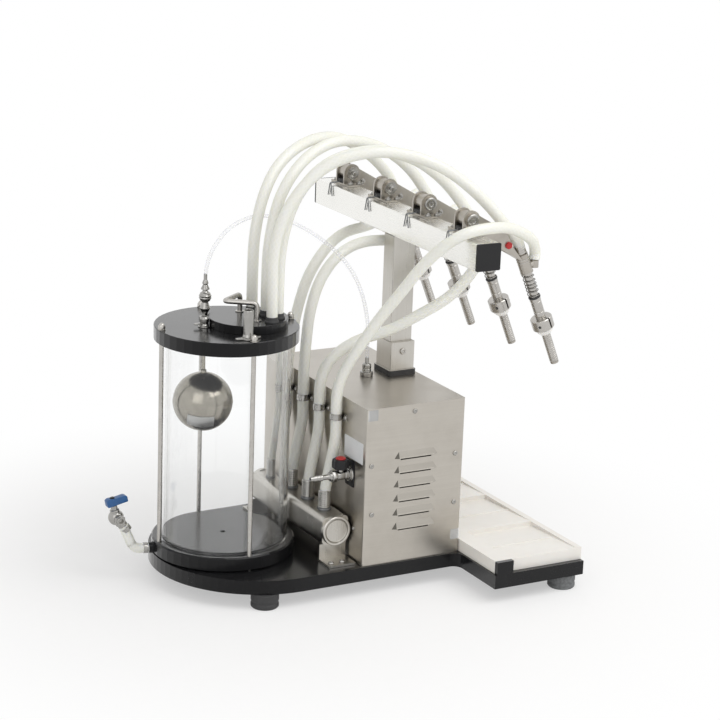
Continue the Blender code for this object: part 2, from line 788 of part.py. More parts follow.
def make_float():
    stem_top = LID_TOP - FLOAT_STEM_SETBACK
    joint = math.sqrt(BALL_RADIUS**2 - FLOAT_STEM_RADIUS**2)
    steps = 12
    start = math.asin(FLOAT_STEM_RADIUS / BALL_RADIUS)
    profile = [(0, -BALL_RADIUS)]
    for s in range(1, steps):
        angle = -math.pi / 2 + (math.pi - start) * s / steps
        profile.append((BALL_RADIUS * math.cos(angle), BALL_RADIUS * math.sin(angle)))
    profile += [
        (FLOAT_STEM_RADIUS, joint),
        (FLOAT_STEM_RADIUS, stem_top - BALL_Z - FLOAT_HEAD_HEIGHT),
        (FLOAT_HEAD_RADIUS, stem_top - BALL_Z - FLOAT_HEAD_HEIGHT),
        (FLOAT_HEAD_RADIUS, stem_top - BALL_Z),
        (0, stem_top - BALL_Z),
    ]
    place("float_ball", turned(profile, 24), "steel", (FLOAT_X, FLOAT_Y, BALL_Z))

    low = LID_LOW - SPIGOT_HEIGHT - GUIDE_DEPTH
    head = LID_TOP + GAP
    bore = FLOAT_STEM_RADIUS + GUIDE_CLEARANCE
    chamber = FLOAT_HEAD_RADIUS + GUIDE_CLEARANCE
    shoulder = stem_top - FLOAT_HEAD_HEIGHT - GAP
    roof = stem_top + FLOAT_TRAVEL + GAP
    guide = turned(
        (
            (bore, low),
            (GUIDE_RADIUS, low),
            (GUIDE_RADIUS, head),
            (GUIDE_HEAD_RADIUS, head),
            (GUIDE_HEAD_RADIUS, head + GUIDE_HEAD_HEIGHT - JAR_CHAMFER / 2),
            (GUIDE_HEAD_RADIUS - JAR_CHAMFER / 2, head + GUIDE_HEAD_HEIGHT),
            (0, head + GUIDE_HEAD_HEIGHT),
            (0, roof),
            (chamber, roof),
            (chamber, shoulder),
            (bore, shoulder),
        ),
        16,
    )
    wing = box(
        (-WING_HALF_WIDTH, 0, head + WING_LEVEL),
        (WING_HALF_WIDTH, WING_LENGTH, head + WING_LEVEL + WING_THICKNESS),
    )
    wing = moved(wing, Matrix.Translation((0, GUIDE_HEAD_RADIUS * WING_ROOT_SHARE, 0)))
    place("float_guide", merged(guide, [wing]), "nickel", (FLOAT_X, FLOAT_Y, 0))


def make_lid_fittings():
    low = LID_LOW - SPIGOT_HEIGHT
    seat = LID_TOP + GAP
    profile = [
        (SUCTION_BORE, low),
        (SUCTION_SHANK_RADIUS, low),
        (SUCTION_SHANK_RADIUS, seat),
        (SUCTION_FLANGE_RADIUS, seat),
        (SUCTION_FLANGE_RADIUS, seat + SUCTION_FLANGE),
        (SUCTION_NECK_RADIUS, seat + SUCTION_FLANGE),
        (SUCTION_NECK_RADIUS, seat + SUCTION_FLANGE + SUCTION_NECK),
        (SUCTION_CONE_RADIUS, seat + SUCTION_FLANGE + SUCTION_NECK + SUCTION_CONE),
    ]
    for s in range(5):
        angle = math.radians(-50) + math.radians(100) * s / 4
        level = seat + SUCTION_GLOBE_Z + SUCTION_GLOBE_RADIUS * math.sin(angle)
        profile.append((SUCTION_GLOBE_RADIUS * math.cos(angle), level))
    throat = seat + SUCTION_GLOBE_Z + SUCTION_GLOBE_RADIUS
    profile += [
        (SUCTION_CONE_RADIUS * SUCTION_THROAT_SHARE, throat),
        (SUCTION_CONE_RADIUS * SUCTION_LIP_SHARE, throat + SUCTION_CONE * SUCTION_LIP_HEIGHT_SHARE),
        (SUCTION_STEM_RADIUS, throat + SUCTION_CONE),
        (SUCTION_STEM_RADIUS, seat + SUCTION_TOP),
        (SUCTION_BORE, seat + SUCTION_TOP),
    ]
    place("vacuum_fitting", turned(profile, 14), "nickel", (SUCTION_X, SUCTION_Y, 0))

    bore = VENT_RADIUS - VENT_WALL
    vent = turned(
        (
            (0, low),
            (VENT_SHANK_RADIUS, low),
            (VENT_SHANK_RADIUS, seat),
            (VENT_FLANGE_RADIUS, seat),
            (VENT_FLANGE_RADIUS, seat + VENT_FLANGE / 2),
            (VENT_RADIUS, seat + VENT_FLANGE),
            (VENT_RADIUS, seat + VENT_HEIGHT),
            (bore, seat + VENT_HEIGHT),
            (bore, seat + VENT_FLANGE),
            (0, seat + VENT_FLANGE),
        ),
        16,
    )
    outline = rounded_rectangle(VENT_WING_WIDTH, VENT_WING_REACH, VENT_WING_WIDTH - GAP, 4)
    wings = prism(outline, seat, seat + VENT_WING)
    bore = rod(VENT_SHANK_BORE, low - CUT_OVERRUN, seat + VENT_HEIGHT, 12)
    place("vent_tube", merged(vent, [wings], [bore]), "steel", (VENT_X, VENT_Y, 0))


def make_housing():
    middle = (HOUSING_REAR_Y + HOUSING_FRONT_Y) / 2
    half = (HOUSING_REAR_Y - HOUSING_FRONT_Y) / 2
    shell = prism(
        rounded_rectangle(HOUSING_HALF_LENGTH, half, HOUSING_CORNER, 3, (0, middle)), HOUSING_LOW, HOUSING_TOP
    )
    inside = prism(
        rounded_rectangle(
            HOUSING_HALF_LENGTH - HOUSING_WALL,
            half - HOUSING_WALL,
            HOUSING_CORNER - HOUSING_WALL,
            3,
            (0, middle),
        ),
        HOUSING_LOW - CUT_OVERRUN,
        HOUSING_TOP - HOUSING_WALL,
    )
    face = -HOUSING_HALF_LENGTH
    hoods = []
    cuts = [inside]
    for k in range(LOUVRE_COUNT):
        low = LOUVRE_LOW + k * LOUVRE_PITCH
        y0 = LOUVRE_Y - LOUVRE_LENGTH / 2
        y1 = LOUVRE_Y + LOUVRE_LENGTH / 2
        outline = (
            (face + HOUSING_WALL / 2, low),
            (face - LOUVRE_HOOD_DEPTH, low),
            (face - LOUVRE_HOOD_DEPTH, low + LOUVRE_LIP),
            (face + HOUSING_WALL / 2, low + LOUVRE_HOOD_HEIGHT),
        )
        hoods.append(prism(outline, y0, y1, "Y"))
        cuts.append(
            box(
                (face - CUT_OVERRUN, y0 + HOUSING_CORNER, low - LOUVRE_SLOT_HEIGHT),
                (face + HOUSING_WALL + CUT_OVERRUN, y1 - HOUSING_CORNER, low - GAP),
            )
        )
    deep = HOUSING_WALL + CUT_OVERRUN
    cuts.append(
        moved(
            rod(VALVE_SHANK_RADIUS + GAP, -deep, deep, 20),
            toward((0, 1, 0), (VALVE_X, HOUSING_REAR_Y, VALVE_Z)),
        )
    )
    line_hole = rod(ELBOW_SHANK_RADIUS + GAP, -deep, deep, 20)
    cuts.append(moved(line_hole, Matrix.Translation((ELBOW_X, ELBOW_Y, HOUSING_TOP))))
    place("pump_housing", merged(shell, hoods, cuts), "steel")


def make_pump():
    low = PLATE_TOP + GAP
    axis = low + MOTOR_AXIS_HEIGHT
    plate = box(
        (PUMP_X - PUMP_PLATE_LENGTH / 2, PUMP_Y - PUMP_PLATE_WIDTH / 2, low),
        (PUMP_X + PUMP_PLATE_LENGTH / 2, PUMP_Y + PUMP_PLATE_WIDTH / 2, low + PUMP_PLATE_THICKNESS),
    )
    near = PUMP_X - (MOTOR_LENGTH + PUMP_HEAD_LENGTH) / 2
    motor = moved(rod(MOTOR_RADIUS, 0, MOTOR_LENGTH, 24), toward((1, 0, 0), (near, PUMP_Y, axis)))
    head = moved(
        rod(PUMP_HEAD_RADIUS, -CUT_OVERRUN, PUMP_HEAD_LENGTH, 24),
        toward((1, 0, 0), (near + MOTOR_LENGTH, PUMP_Y, axis)),
    )
    saddle = box(
        (near + MOTOR_RADIUS / 2, PUMP_Y - MOTOR_SADDLE_WIDTH / 2, low + PUMP_PLATE_THICKNESS / 2),
        (near + MOTOR_LENGTH - MOTOR_RADIUS / 2, PUMP_Y + MOTOR_SADDLE_WIDTH / 2, axis - MOTOR_RADIUS / 2),
    )
    port = rod(PUMP_PORT_RADIUS, 0, PUMP_HEAD_RADIUS + PUMP_PORT_HEIGHT, 14)
    port = moved(port, Matrix.Translation((near + MOTOR_LENGTH + PUMP_HEAD_LENGTH / 2, PUMP_Y, axis)))
    place("vacuum_pump", merged(plate, (saddle, motor, head, port)), "cast")


def make_valve():
    face = HOUSING_REAR_Y + GAP
    profile = (
        (VALVE_BORE, -VALVE_SHANK_LENGTH),
        (VALVE_SHANK_RADIUS, -VALVE_SHANK_LENGTH),
        (VALVE_SHANK_RADIUS, 0),
        (VALVE_FLANGE_RADIUS, 0),
        (VALVE_FLANGE_RADIUS, VALVE_FLANGE),
        (VALVE_BODY_RADIUS, VALVE_FLANGE),
        (VALVE_BODY_RADIUS, VALVE_BODY_LENGTH),
        (VALVE_TAIL_RADIUS, VALVE_BODY_LENGTH),
        (VALVE_TAIL_RADIUS * VALVE_BARB_SHARE, VALVE_TAIL_LENGTH),
        (VALVE_TAIL_RADIUS, VALVE_TAIL_LENGTH),
        (VALVE_TAIL_RADIUS * VALVE_NOSE_SHARE, VALVE_TAIL_LENGTH + VALVE_FLANGE),
        (VALVE_BORE, VALVE_TAIL_LENGTH + VALVE_FLANGE),
    )
    body = moved(turned(profile, 20), toward((0, 1, 0), (VALVE_X, face, VALVE_Z)))
    stem_y = face + VALVE_STEM_SETBACK
    boss_top = VALVE_Z + VALVE_STEM_HEIGHT
    boss = moved(
        rod(VALVE_STEM_RADIUS, VALVE_Z + VALVE_BODY_RADIUS / 2, boss_top, 16),
        Matrix.Translation((VALVE_X, stem_y, 0)),
    )
    place("vacuum_valve", merged(body, [boss]), "nickel")
    low = boss_top + GAP - VALVE_Z
    knob = turned(
        (
            (0, low),
            (KNOB_RADIUS - KNOB_CHAMFER, low),
            (KNOB_RADIUS, low + KNOB_CHAMFER),
            (KNOB_RADIUS, low + KNOB_HEIGHT - KNOB_CHAMFER),
            (KNOB_RADIUS - KNOB_CHAMFER, low + KNOB_HEIGHT),
            (KNOB_CAP_RADIUS, low + KNOB_HEIGHT),
            (KNOB_CAP_RADIUS, low + KNOB_HEIGHT + KNOB_CAP_HEIGHT),
            (0, low + KNOB_HEIGHT + KNOB_CAP_HEIGHT),
        ),
        20,
    )
    place("valve_knob", knob, "black_plastic", (VALVE_X, stem_y, VALVE_Z))


def elbow_top():
    return HOUSING_TOP + GAP + ELBOW_HEIGHT


def make_elbow():
    seat = HOUSING_TOP + GAP
    profile = (
        (ELBOW_BORE, seat - ELBOW_SHANK),
        (ELBOW_SHANK_RADIUS, seat - ELBOW_SHANK),
        (ELBOW_SHANK_RADIUS, seat),
        (ELBOW_FLANGE_RADIUS, seat),
        (ELBOW_FLANGE_RADIUS, seat + ELBOW_FLANGE),
        (ELBOW_BODY_RADIUS, seat + ELBOW_FLANGE),
        (ELBOW_BODY_RADIUS, elbow_top() - ELBOW_STEM),
        (ELBOW_STEM_RADIUS, elbow_top() - ELBOW_STEM),
        (ELBOW_STEM_RADIUS, elbow_top()),
        (ELBOW_BORE, elbow_top()),
    )
    place("vacuum_elbow", turned(profile, 14), "nickel", (ELBOW_X, ELBOW_Y, 0))


def port_xs():
    return [MANIFOLD_FIRST_X - k * MANIFOLD_PITCH for k in range(STATION_COUNT)]


def make_manifold():
    half = MANIFOLD_SIDE / 2
    inset = MANIFOLD_RING_LENGTH - CUT_OVERRUN
    body = prism(
        rounded_rectangle(half, half, MANIFOLD_CORNER, 3, (MANIFOLD_Y, MANIFOLD_Z)),
        MANIFOLD_NEAR_X + inset,
        MANIFOLD_FAR_X - inset,
        "X",
    )
    rings = []
    for x, way in ((MANIFOLD_NEAR_X, 1), (MANIFOLD_FAR_X, -1)):
        profile = (
            (0, MANIFOLD_CAP_RECESS),
            (MANIFOLD_CAP_RADIUS, MANIFOLD_CAP_RECESS),
            (MANIFOLD_CAP_RADIUS + MANIFOLD_CAP_RECESS, 0),
            (MANIFOLD_RING_RADIUS - MANIFOLD_CAP_RECESS / 2, 0),
            (MANIFOLD_RING_RADIUS, MANIFOLD_CAP_RECESS / 2),
            (MANIFOLD_RING_RADIUS, MANIFOLD_RING_LENGTH),
            (0, MANIFOLD_RING_LENGTH),
        )
        rings.append(moved(turned(profile, 20), toward((way, 0, 0), (x, MANIFOLD_Y, MANIFOLD_Z))))
    top = MANIFOLD_Z + half
    collars = []
    cuts = [
        moved(
            rod(MANIFOLD_BORE, MANIFOLD_NEAR_X + MANIFOLD_END, MANIFOLD_FAR_X - MANIFOLD_END, 20),
            toward((1, 0, 0), (0, MANIFOLD_Y, MANIFOLD_Z)),
        )
    ]
    for x in port_xs():
        spot = Matrix.Translation((x, MANIFOLD_Y, 0))
        collars.append(moved(rod(COLLAR_RADIUS, top - CUT_OVERRUN, top + COLLAR_HEIGHT, 16), spot))
        cuts.append(moved(rod(MANIFOLD_PORT_BORE, MANIFOLD_Z, top + COLLAR_HEIGHT + CUT_OVERRUN, 12), spot))
    place("manifold", merged(body, (*rings, *collars), cuts), "steel")

    low = PLATE_TOP + GAP
    for k, (x, way) in enumerate(((MANIFOLD_NEAR_X, -1), (MANIFOLD_FAR_X, 1))):
        wall = x - way * BRACKET_SETBACK
        inner = wall - way * BRACKET_THICKNESS
        outer = inner + way * BRACKET_FOOT_LENGTH
        outline = [
            (inner, low),
            (outer, low),
            (outer, low + BRACKET_THICKNESS),
            (wall, low + BRACKET_THICKNESS),
            (wall, MANIFOLD_Z - half - GAP),
            (inner, MANIFOLD_Z - half - GAP),
        ]
        bracket = prism(outline, BRACKET_FOOT_FRONT_Y, BRACKET_FOOT_REAR_Y, "Y")
        place(f"manifold_bracket_{k + 1}", bracket, "steel")


def make_column():
    socket_low = HOUSING_TOP + GAP
    seat = socket_low + SOCKET_FOOT
    socket_top = seat + SOCKET_HEIGHT
    centre = (COLUMN_X, COLUMN_Y)
    foot = prism(
        rounded_rectangle(
            SOCKET_WIDTH / 2 + SOCKET_FOOT_MARGIN,
            SOCKET_DEPTH / 2 + SOCKET_FOOT_MARGIN,
            HOUSING_CORNER,
            2,
            centre,
        ),
        socket_low,
        seat,
    )
    sleeve = prism(
        rounded_rectangle(SOCKET_WIDTH / 2, SOCKET_DEPTH / 2, BEAM_CORNER / 2, 2, centre),
        seat - SOCKET_FOOT / 4,
        socket_top,
    )
    room = prism(
        rounded_rectangle(
            COLUMN_WIDTH / 2 + SOCKET_CLEARANCE,
            COLUMN_DEPTH / 2 + SOCKET_CLEARANCE,
            BEAM_CORNER / 2,
            2,
            centre,
        ),
        seat,
        socket_top + CUT_OVERRUN,
    )
    place("column_socket", merged(foot, [sleeve], [room]), "steel")

    low = seat + GAP
    top = BEAM_Z - BEAM_SIDE / 2 - GAP
    outer = prism(
        rounded_rectangle(COLUMN_WIDTH / 2, COLUMN_DEPTH / 2, BEAM_CORNER / 2, 2, centre), low, top
    )
    inside = prism(
        rounded_rectangle(
            COLUMN_WIDTH / 2 - COLUMN_WALL, COLUMN_DEPTH / 2 - COLUMN_WALL, BEAM_CORNER / 4, 1, centre
        ),
        low - CUT_OVERRUN,
        top + CUT_OVERRUN,
    )
    place("column", merged(outer, cut=[inside]), "steel")


def make_beam():
    half = BEAM_SIDE / 2
    middle = (BEAM_Y, BEAM_Z)
    reach = BEAM_HALF_LENGTH - CAP_THICKNESS - GAP
    outer = prism(rounded_rectangle(half, half, BEAM_CORNER, 3, middle), -reach, reach, "X")
    inner_half = half - BEAM_WALL
    inside = prism(
        rounded_rectangle(inner_half, inner_half, BEAM_CORNER / 2, 1, middle),
        -reach - CUT_OVERRUN,
        reach + CUT_OVERRUN,
        "X",
    )
    place("head_beam", merged(outer, cut=[inside]), "steel")
    plug_half = inner_half - CAP_CLEARANCE
    for k, way in enumerate((-1, 1)):
        ends = sorted((way * (BEAM_HALF_LENGTH - CAP_THICKNESS), way * BEAM_HALF_LENGTH))
        cap = prism(rounded_rectangle(half, half, BEAM_CORNER, 3, middle), *ends, "X")
        shoulder = BEAM_HALF_LENGTH - CAP_THICKNESS
        ends = sorted((way * (shoulder - CAP_PLUG), way * (shoulder + CAP_THICKNESS / 2)))
        plug = prism(rounded_rectangle(plug_half, plug_half, BEAM_CORNER / 2, 1, middle), *ends, "X")
        place(f"beam_cap_{k + 1}", merged(cap, [plug]), "black_plastic")


def clevis_mesh():
    low = BEAM_TOP + GAP - PIVOT_Z
    depth = CLEVIS_DEPTH / 2
    base = box((-CLEVIS_PLATE_HALF, -depth, low), (CLEVIS_PLATE_HALF, depth, low + CLEVIS_PLATE))
    parts = []
    outer = CLEVIS_INSIDE_HALF + CLEVIS_EAR
    for way in (-1, 1):
        root = low + CLEVIS_PLATE / 2
        outline = [(depth, root), *arc((0, 0), depth, 0, math.pi, 12), (-depth, root)]
        ends = sorted((way * CLEVIS_INSIDE_HALF, way * outer))
        parts.append(prism(outline, *ends, "X"))
        ends = sorted((way * (outer - CLEVIS_EAR / 2), way * (outer + PIVOT_HEAD)))
        parts.append(moved(rod(PIVOT_HEAD_RADIUS, *ends, 16), toward((1, 0, 0))))
    parts.append(moved(rod(PIVOT_RADIUS, -outer, outer, 16), toward((1, 0, 0))))
    return merged(base, parts)


def nozzle_axis():
    """Unit vector up the nozzle's axis."""
    return Vector((0, math.sin(NOZZLE_TILT), math.cos(NOZZLE_TILT)))


def head_spot():
    """The head's reference point, from the pivot."""
    return Vector((0, HEAD_Y - PIVOT_Y, HEAD_Z - PIVOT_Z))


def lever_mesh():
    half = CLEVIS_INSIDE_HALF - LEVER_SIDE_CLEARANCE
    along = Vector((-math.cos(LEVER_SLOPE), -math.sin(LEVER_SLOPE)))
    across = Vector((-math.sin(LEVER_SLOPE), math.cos(LEVER_SLOPE)))
    head = head_spot()
    top = across * LEVER_HUB_RADIUS
    knee = top + along * LEVER_STRAIGHT
    toe = Vector((-LEVER_TOE_Y, -LEVER_TOE_Z))
    tip = Vector((head.y, head.z)) + Vector((SLEEVE_RADIUS * LEVER_TIP_SHARE, -LEVER_WALL))
    under = knee - across * LEVER_DEPTH
    heel = Vector((-LEVER_HEEL, -LEVER_HEEL))
    belly = heel - Vector((0, LEVER_STOP))
    start = math.pi / 2 + LEVER_SLOPE
    hub = arc((0, 0), LEVER_HUB_RADIUS, start, math.radians(-100), 10)
    outline = [*hub, tuple(heel), tuple(belly), tuple(under), tuple(tip - Vector((0, LEVER_WALL)))]
    outline += [tuple(tip), tuple(toe), tuple(knee)]
    blank = prism([(u, v) for u, v in reversed(outline)], -half, half, "X")

    axis = nozzle_axis()
    down = toward(axis, head)
    sleeve = turned(
        (
            (0, -SLEEVE_LENGTH),
            (SLEEVE_RADIUS, -SLEEVE_LENGTH),
            (SLEEVE_RADIUS, HEAD_RISE - COLLAR_HEIGHT / 2),
            (COLLAR_RADIUS, HEAD_RISE - COLLAR_HEIGHT / 2),
            (COLLAR_RADIUS, HEAD_RISE),
            (0, HEAD_RISE),
        ),
        16,
    )
    pipe = turned(
        (
            (0, -NOZZLE_LENGTH),
            (VALVE_PLUG_RADIUS, -NOZZLE_LENGTH),
            (VALVE_PLUG_RADIUS, VALVE_PLUG - NOZZLE_LENGTH),
            (INNER_TUBE_RADIUS, VALVE_PLUG - NOZZLE_LENGTH),
            (INNER_TUBE_RADIUS, HEAD_RISE / 4 - SLEEVE_ROOF),
            (0, HEAD_RISE / 4 - SLEEVE_ROOF),
        ),
        12,
    )
    port_y = head.y - PORT_REACH
    port_z = head.z - PORT_DROP
    stub_start = head.y - PORT_ROOT
    stub = rod(PORT_STUB_RADIUS, 0, stub_start - port_y, 10)
    stub = moved(stub, toward((0, -1, 0), (0, stub_start, port_z)))
    collar_low = port_z - PORT_COLLAR_HEIGHT / 2
    collar_top = port_z + PORT_COLLAR_HEIGHT / 2
    collar = moved(rod(PORT_COLLAR_RADIUS, collar_low, collar_top, 12), Matrix.Translation((0, port_y, 0)))
    inner = half - LEVER_WALL
    slot_top = knee - across * LEVER_WEB
    slot_start = slot_top - along * (LEVER_STRAIGHT - LEVER_HUB_RADIUS * LEVER_SLOT_SHARE)
    slot_end = toe - across * LEVER_WEB + Vector((LEVER_WALL, 0))
    drop = Vector((0, -LEVER_DEPTH * 2))
    slot = (slot_start, slot_top, slot_end, slot_end + drop, slot_start + drop)
    room = prism([tuple(corner) for corner in slot], -inner, inner, "X")
    chamber = moved(rod(SLEEVE_BORE, -SLEEVE_LENGTH * CHAMBER_SHARE, -SLEEVE_ROOF, 16), down)
    overrun = half + CUT_OVERRUN
    pin = moved(rod(PIVOT_RADIUS + PIVOT_CLEARANCE, -overrun, overrun, 12), toward((1, 0, 0)))
    long_bore = moved(rod(INNER_TUBE_BORE, -NOZZLE_LENGTH - CUT_OVERRUN, HEAD_RISE + CUT_OVERRUN, 8), down)
    fall = rod(PORT_BORE, port_z - PORT_BORE / 2, collar_top + CUT_OVERRUN, 9)
    fall = moved(fall, Matrix.Translation((0, port_y, 0)))
    feed = moved(rod(PORT_BORE - GAP, 0, stub_start - port_y, 8), toward((0, 1, 0), (0, port_y, port_z)))
    lever = merged(blank, cut=[room])
    shell = merged(lever, (moved(sleeve, down), stub, collar), [chamber])
    return merged(shell, [moved(pipe, down)], (pin, long_bore, fall, feed))


def nozzle_mesh():
    bore = TIP_RADIUS - TIP_WALL
    stem = SLEEVE_BORE - SLIDE_CLEARANCE
    low = NOZZLE_LENGTH - VALVE_PLUG - GAP
    clamp_low = COLLAR_DEPTH + CLAMP_LENGTH
    profile = (
        (bore, STEM_ENGAGEMENT - SLEEVE_LENGTH),
        (stem, STEM_ENGAGEMENT - SLEEVE_LENGTH),
        (stem, -SHOULDER_DEPTH),
        (SHOULDER_RADIUS, -SHOULDER_DEPTH),
        (SHOULDER_RADIUS, -SHOULDER_DEPTH - CLAMP_LENGTH / 4),
        (LOWER_SLEEVE_RADIUS, -SHOULDER_DEPTH - CLAMP_LENGTH / 4),
        (WAIST_RADIUS, -SHOULDER_DEPTH - LOWER_SLEEVE_LENGTH),
        (WAIST_RADIUS, -COLLAR_DEPTH),
        (CLAMP_RADIUS, -COLLAR_DEPTH),
        (CLAMP_RADIUS, -clamp_low),
        (CONE_TOP_RADIUS, -clamp_low),
        (CONE_LOW_RADIUS, -clamp_low - CONE_LENGTH),
        (TIP_RADIUS, -clamp_low - CONE_LENGTH),
        (TIP_RADIUS, -low),
        (bore, -low),
    )
    return turned(profile, 14)


def spring_points():
    low = -SHOULDER_DEPTH + GAP + SPRING_WIRE
    high = -SLEEVE_LENGTH - GAP - SPRING_WIRE
    points = []
    count = SPRING_TURNS * SPRING_STEPS
    for n in range(count + 1):
        angle = math.tau * n / SPRING_STEPS
        along = high + (low - high) * n / count
        points.append(Vector((SPRING_RADIUS * math.cos(angle), SPRING_RADIUS * math.sin(angle), along)))
    return points


def least_self_gap(points, radius, skip):
    least = math.inf
    for i, p in enumerate(points):
        for q in points[i + skip :]:
            least = min(least, (p - q).length)
    return least - radius * 2


def make_stations():
    clevis = clevis_mesh()
    lever = lever_mesh()
    nozzle = nozzle_mesh()
    coil = spring_points()
    turn = Vector((0, 0, 1)).rotation_difference(nozzle_axis())
    for k in range(STATION_COUNT):
        x = STATION_FIRST_X - k * STATION_PITCH
        place(f"clevis_{k + 1}", clevis, "steel", (x, PIVOT_Y, PIVOT_Z))
        pivot = bpy.data.objects.new(f"pivot_{k + 1}", None)
        pivot.location = (x, PIVOT_Y, PIVOT_Z)
        bpy.context.scene.collection.objects.link(pivot)
        place(f"lever_head_{k + 1}", lever, "steel", parent=pivot)
        slide = place(f"nozzle_{k + 1}", nozzle, "steel", head_spot(), pivot)
        slide.rotation_mode = "QUATERNION"
        slide.rotation_quaternion = turn
        spring = tube(f"spring_{k + 1}", coil, SPRING_WIRE, "nickel", 1, pivot)
        spring.location = head_spot()
        spring.rotation_mode = "QUATERNION"
        spring.rotation_quaternion = turn
    gap = least_self_gap(coil, SPRING_WIRE, SPRING_STEPS // 2 + 1)
    print(f"spring least gap to itself {gap:.5f} m")


# The routes between a supply hose's clip and its head, and above a return hose's collar, in metres
SUPPLY_ROUTES = (
    (
        (0.077, -0.139, 0.306),
        (0.085, -0.152, 0.350),
        (0.094, -0.172, 0.395),
        (0.110, -0.207, 0.430),
        (0.130, -0.250, 0.448),
        (0.146, -0.300, 0.452),
        (0.149, -0.345, 0.470),
        (0.156, -0.380, 0.490),
        (0.170, -0.398, 0.489),
    ),
    (
        (0.025, -0.136, 0.312),
        (0.026, -0.142, 0.365),
        (0.029, -0.160, 0.412),
        (0.033, -0.192, 0.444),
        (0.038, -0.232, 0.456),
        (0.039, -0.280, 0.455),
        (0.037, -0.330, 0.464),
        (0.040, -0.372, 0.486),
        (0.056, -0.398, 0.490),
    ),
    (
        (-0.030, -0.145, 0.308),
        (-0.045, -0.176, 0.336),
        (-0.064, -0.217, 0.352),
        (-0.074, -0.262, 0.374),
        (-0.079, -0.305, 0.396),
        (-0.078, -0.338, 0.424),
        (-0.076, -0.360, 0.452),
        (-0.072, -0.382, 0.478),
        (-0.058, -0.398, 0.488),
    ),
    (
        (-0.081, -0.141, 0.306),
        (-0.098, -0.155, 0.345),
        (-0.116, -0.173, 0.386),
        (-0.138, -0.193, 0.427),
        (-0.163, -0.210, 0.468),
        (-0.187, -0.229, 0.500),
        (-0.204, -0.252, 0.519),
        (-0.205, -0.288, 0.523),
        (-0.196, -0.322, 0.519),
        (-0.184, -0.352, 0.507),
        (-0.170, -0.380, 0.491),
    ),
)
RETURN_ROUTES = (
    (
        (0.009, -0.042, 0.430),
        (0.010, -0.044, 0.482),
        (0.017, -0.058, 0.533),
        (0.033, -0.087, 0.573),
        (0.058, -0.135, 0.596),
        (0.087, -0.190, 0.600),
        (0.112, -0.238, 0.588),
        (0.134, -0.283, 0.564),
        (0.152, -0.316, 0.541),
        (0.168, -0.343, 0.517),
    ),
    (
        (-0.017, -0.051, 0.430),
        (-0.016, -0.054, 0.482),
        (-0.010, -0.072, 0.542),
        (0.003, -0.112, 0.586),
        (0.018, -0.165, 0.606),
        (0.034, -0.220, 0.601),
        (0.048, -0.270, 0.582),
        (0.058, -0.312, 0.553),
        (0.064, -0.340, 0.522),
    ),
    (
        (-0.037, -0.059, 0.430),
        (-0.037, -0.062, 0.482),
        (-0.038, -0.079, 0.540),
        (-0.040, -0.113, 0.581),
        (-0.042, -0.155, 0.600),
        (-0.044, -0.207, 0.603),
        (-0.045, -0.260, 0.588),
        (-0.045, -0.305, 0.558),
        (-0.045, -0.338, 0.523),
    ),
    (
        (-0.053, -0.042, 0.430),
        (-0.053, -0.043, 0.479),
        (-0.058, -0.056, 0.530),
        (-0.067, -0.086, 0.575),
        (-0.079, -0.124, 0.602),
        (-0.096, -0.176, 0.613),
        (-0.113, -0.229, 0.604),
        (-0.127, -0.272, 0.583),
        (-0.141, -0.312, 0.549),
        (-0.151, -0.341, 0.516),
    ),
)
THIN_ROUTE = (
    (0.0360, 0.0115, 0.455),
    (0.0330, -0.010, 0.488),
    (0.0287, -0.038, 0.505),
    (0.0241, -0.072, 0.508),
    (0.0166, -0.117, 0.492),
    (0.0097, -0.162, 0.461),
    (0.0050, -0.195, 0.424),
    (0.0020, -0.214, 0.382),
    (0.0003, -0.222, 0.340),
)


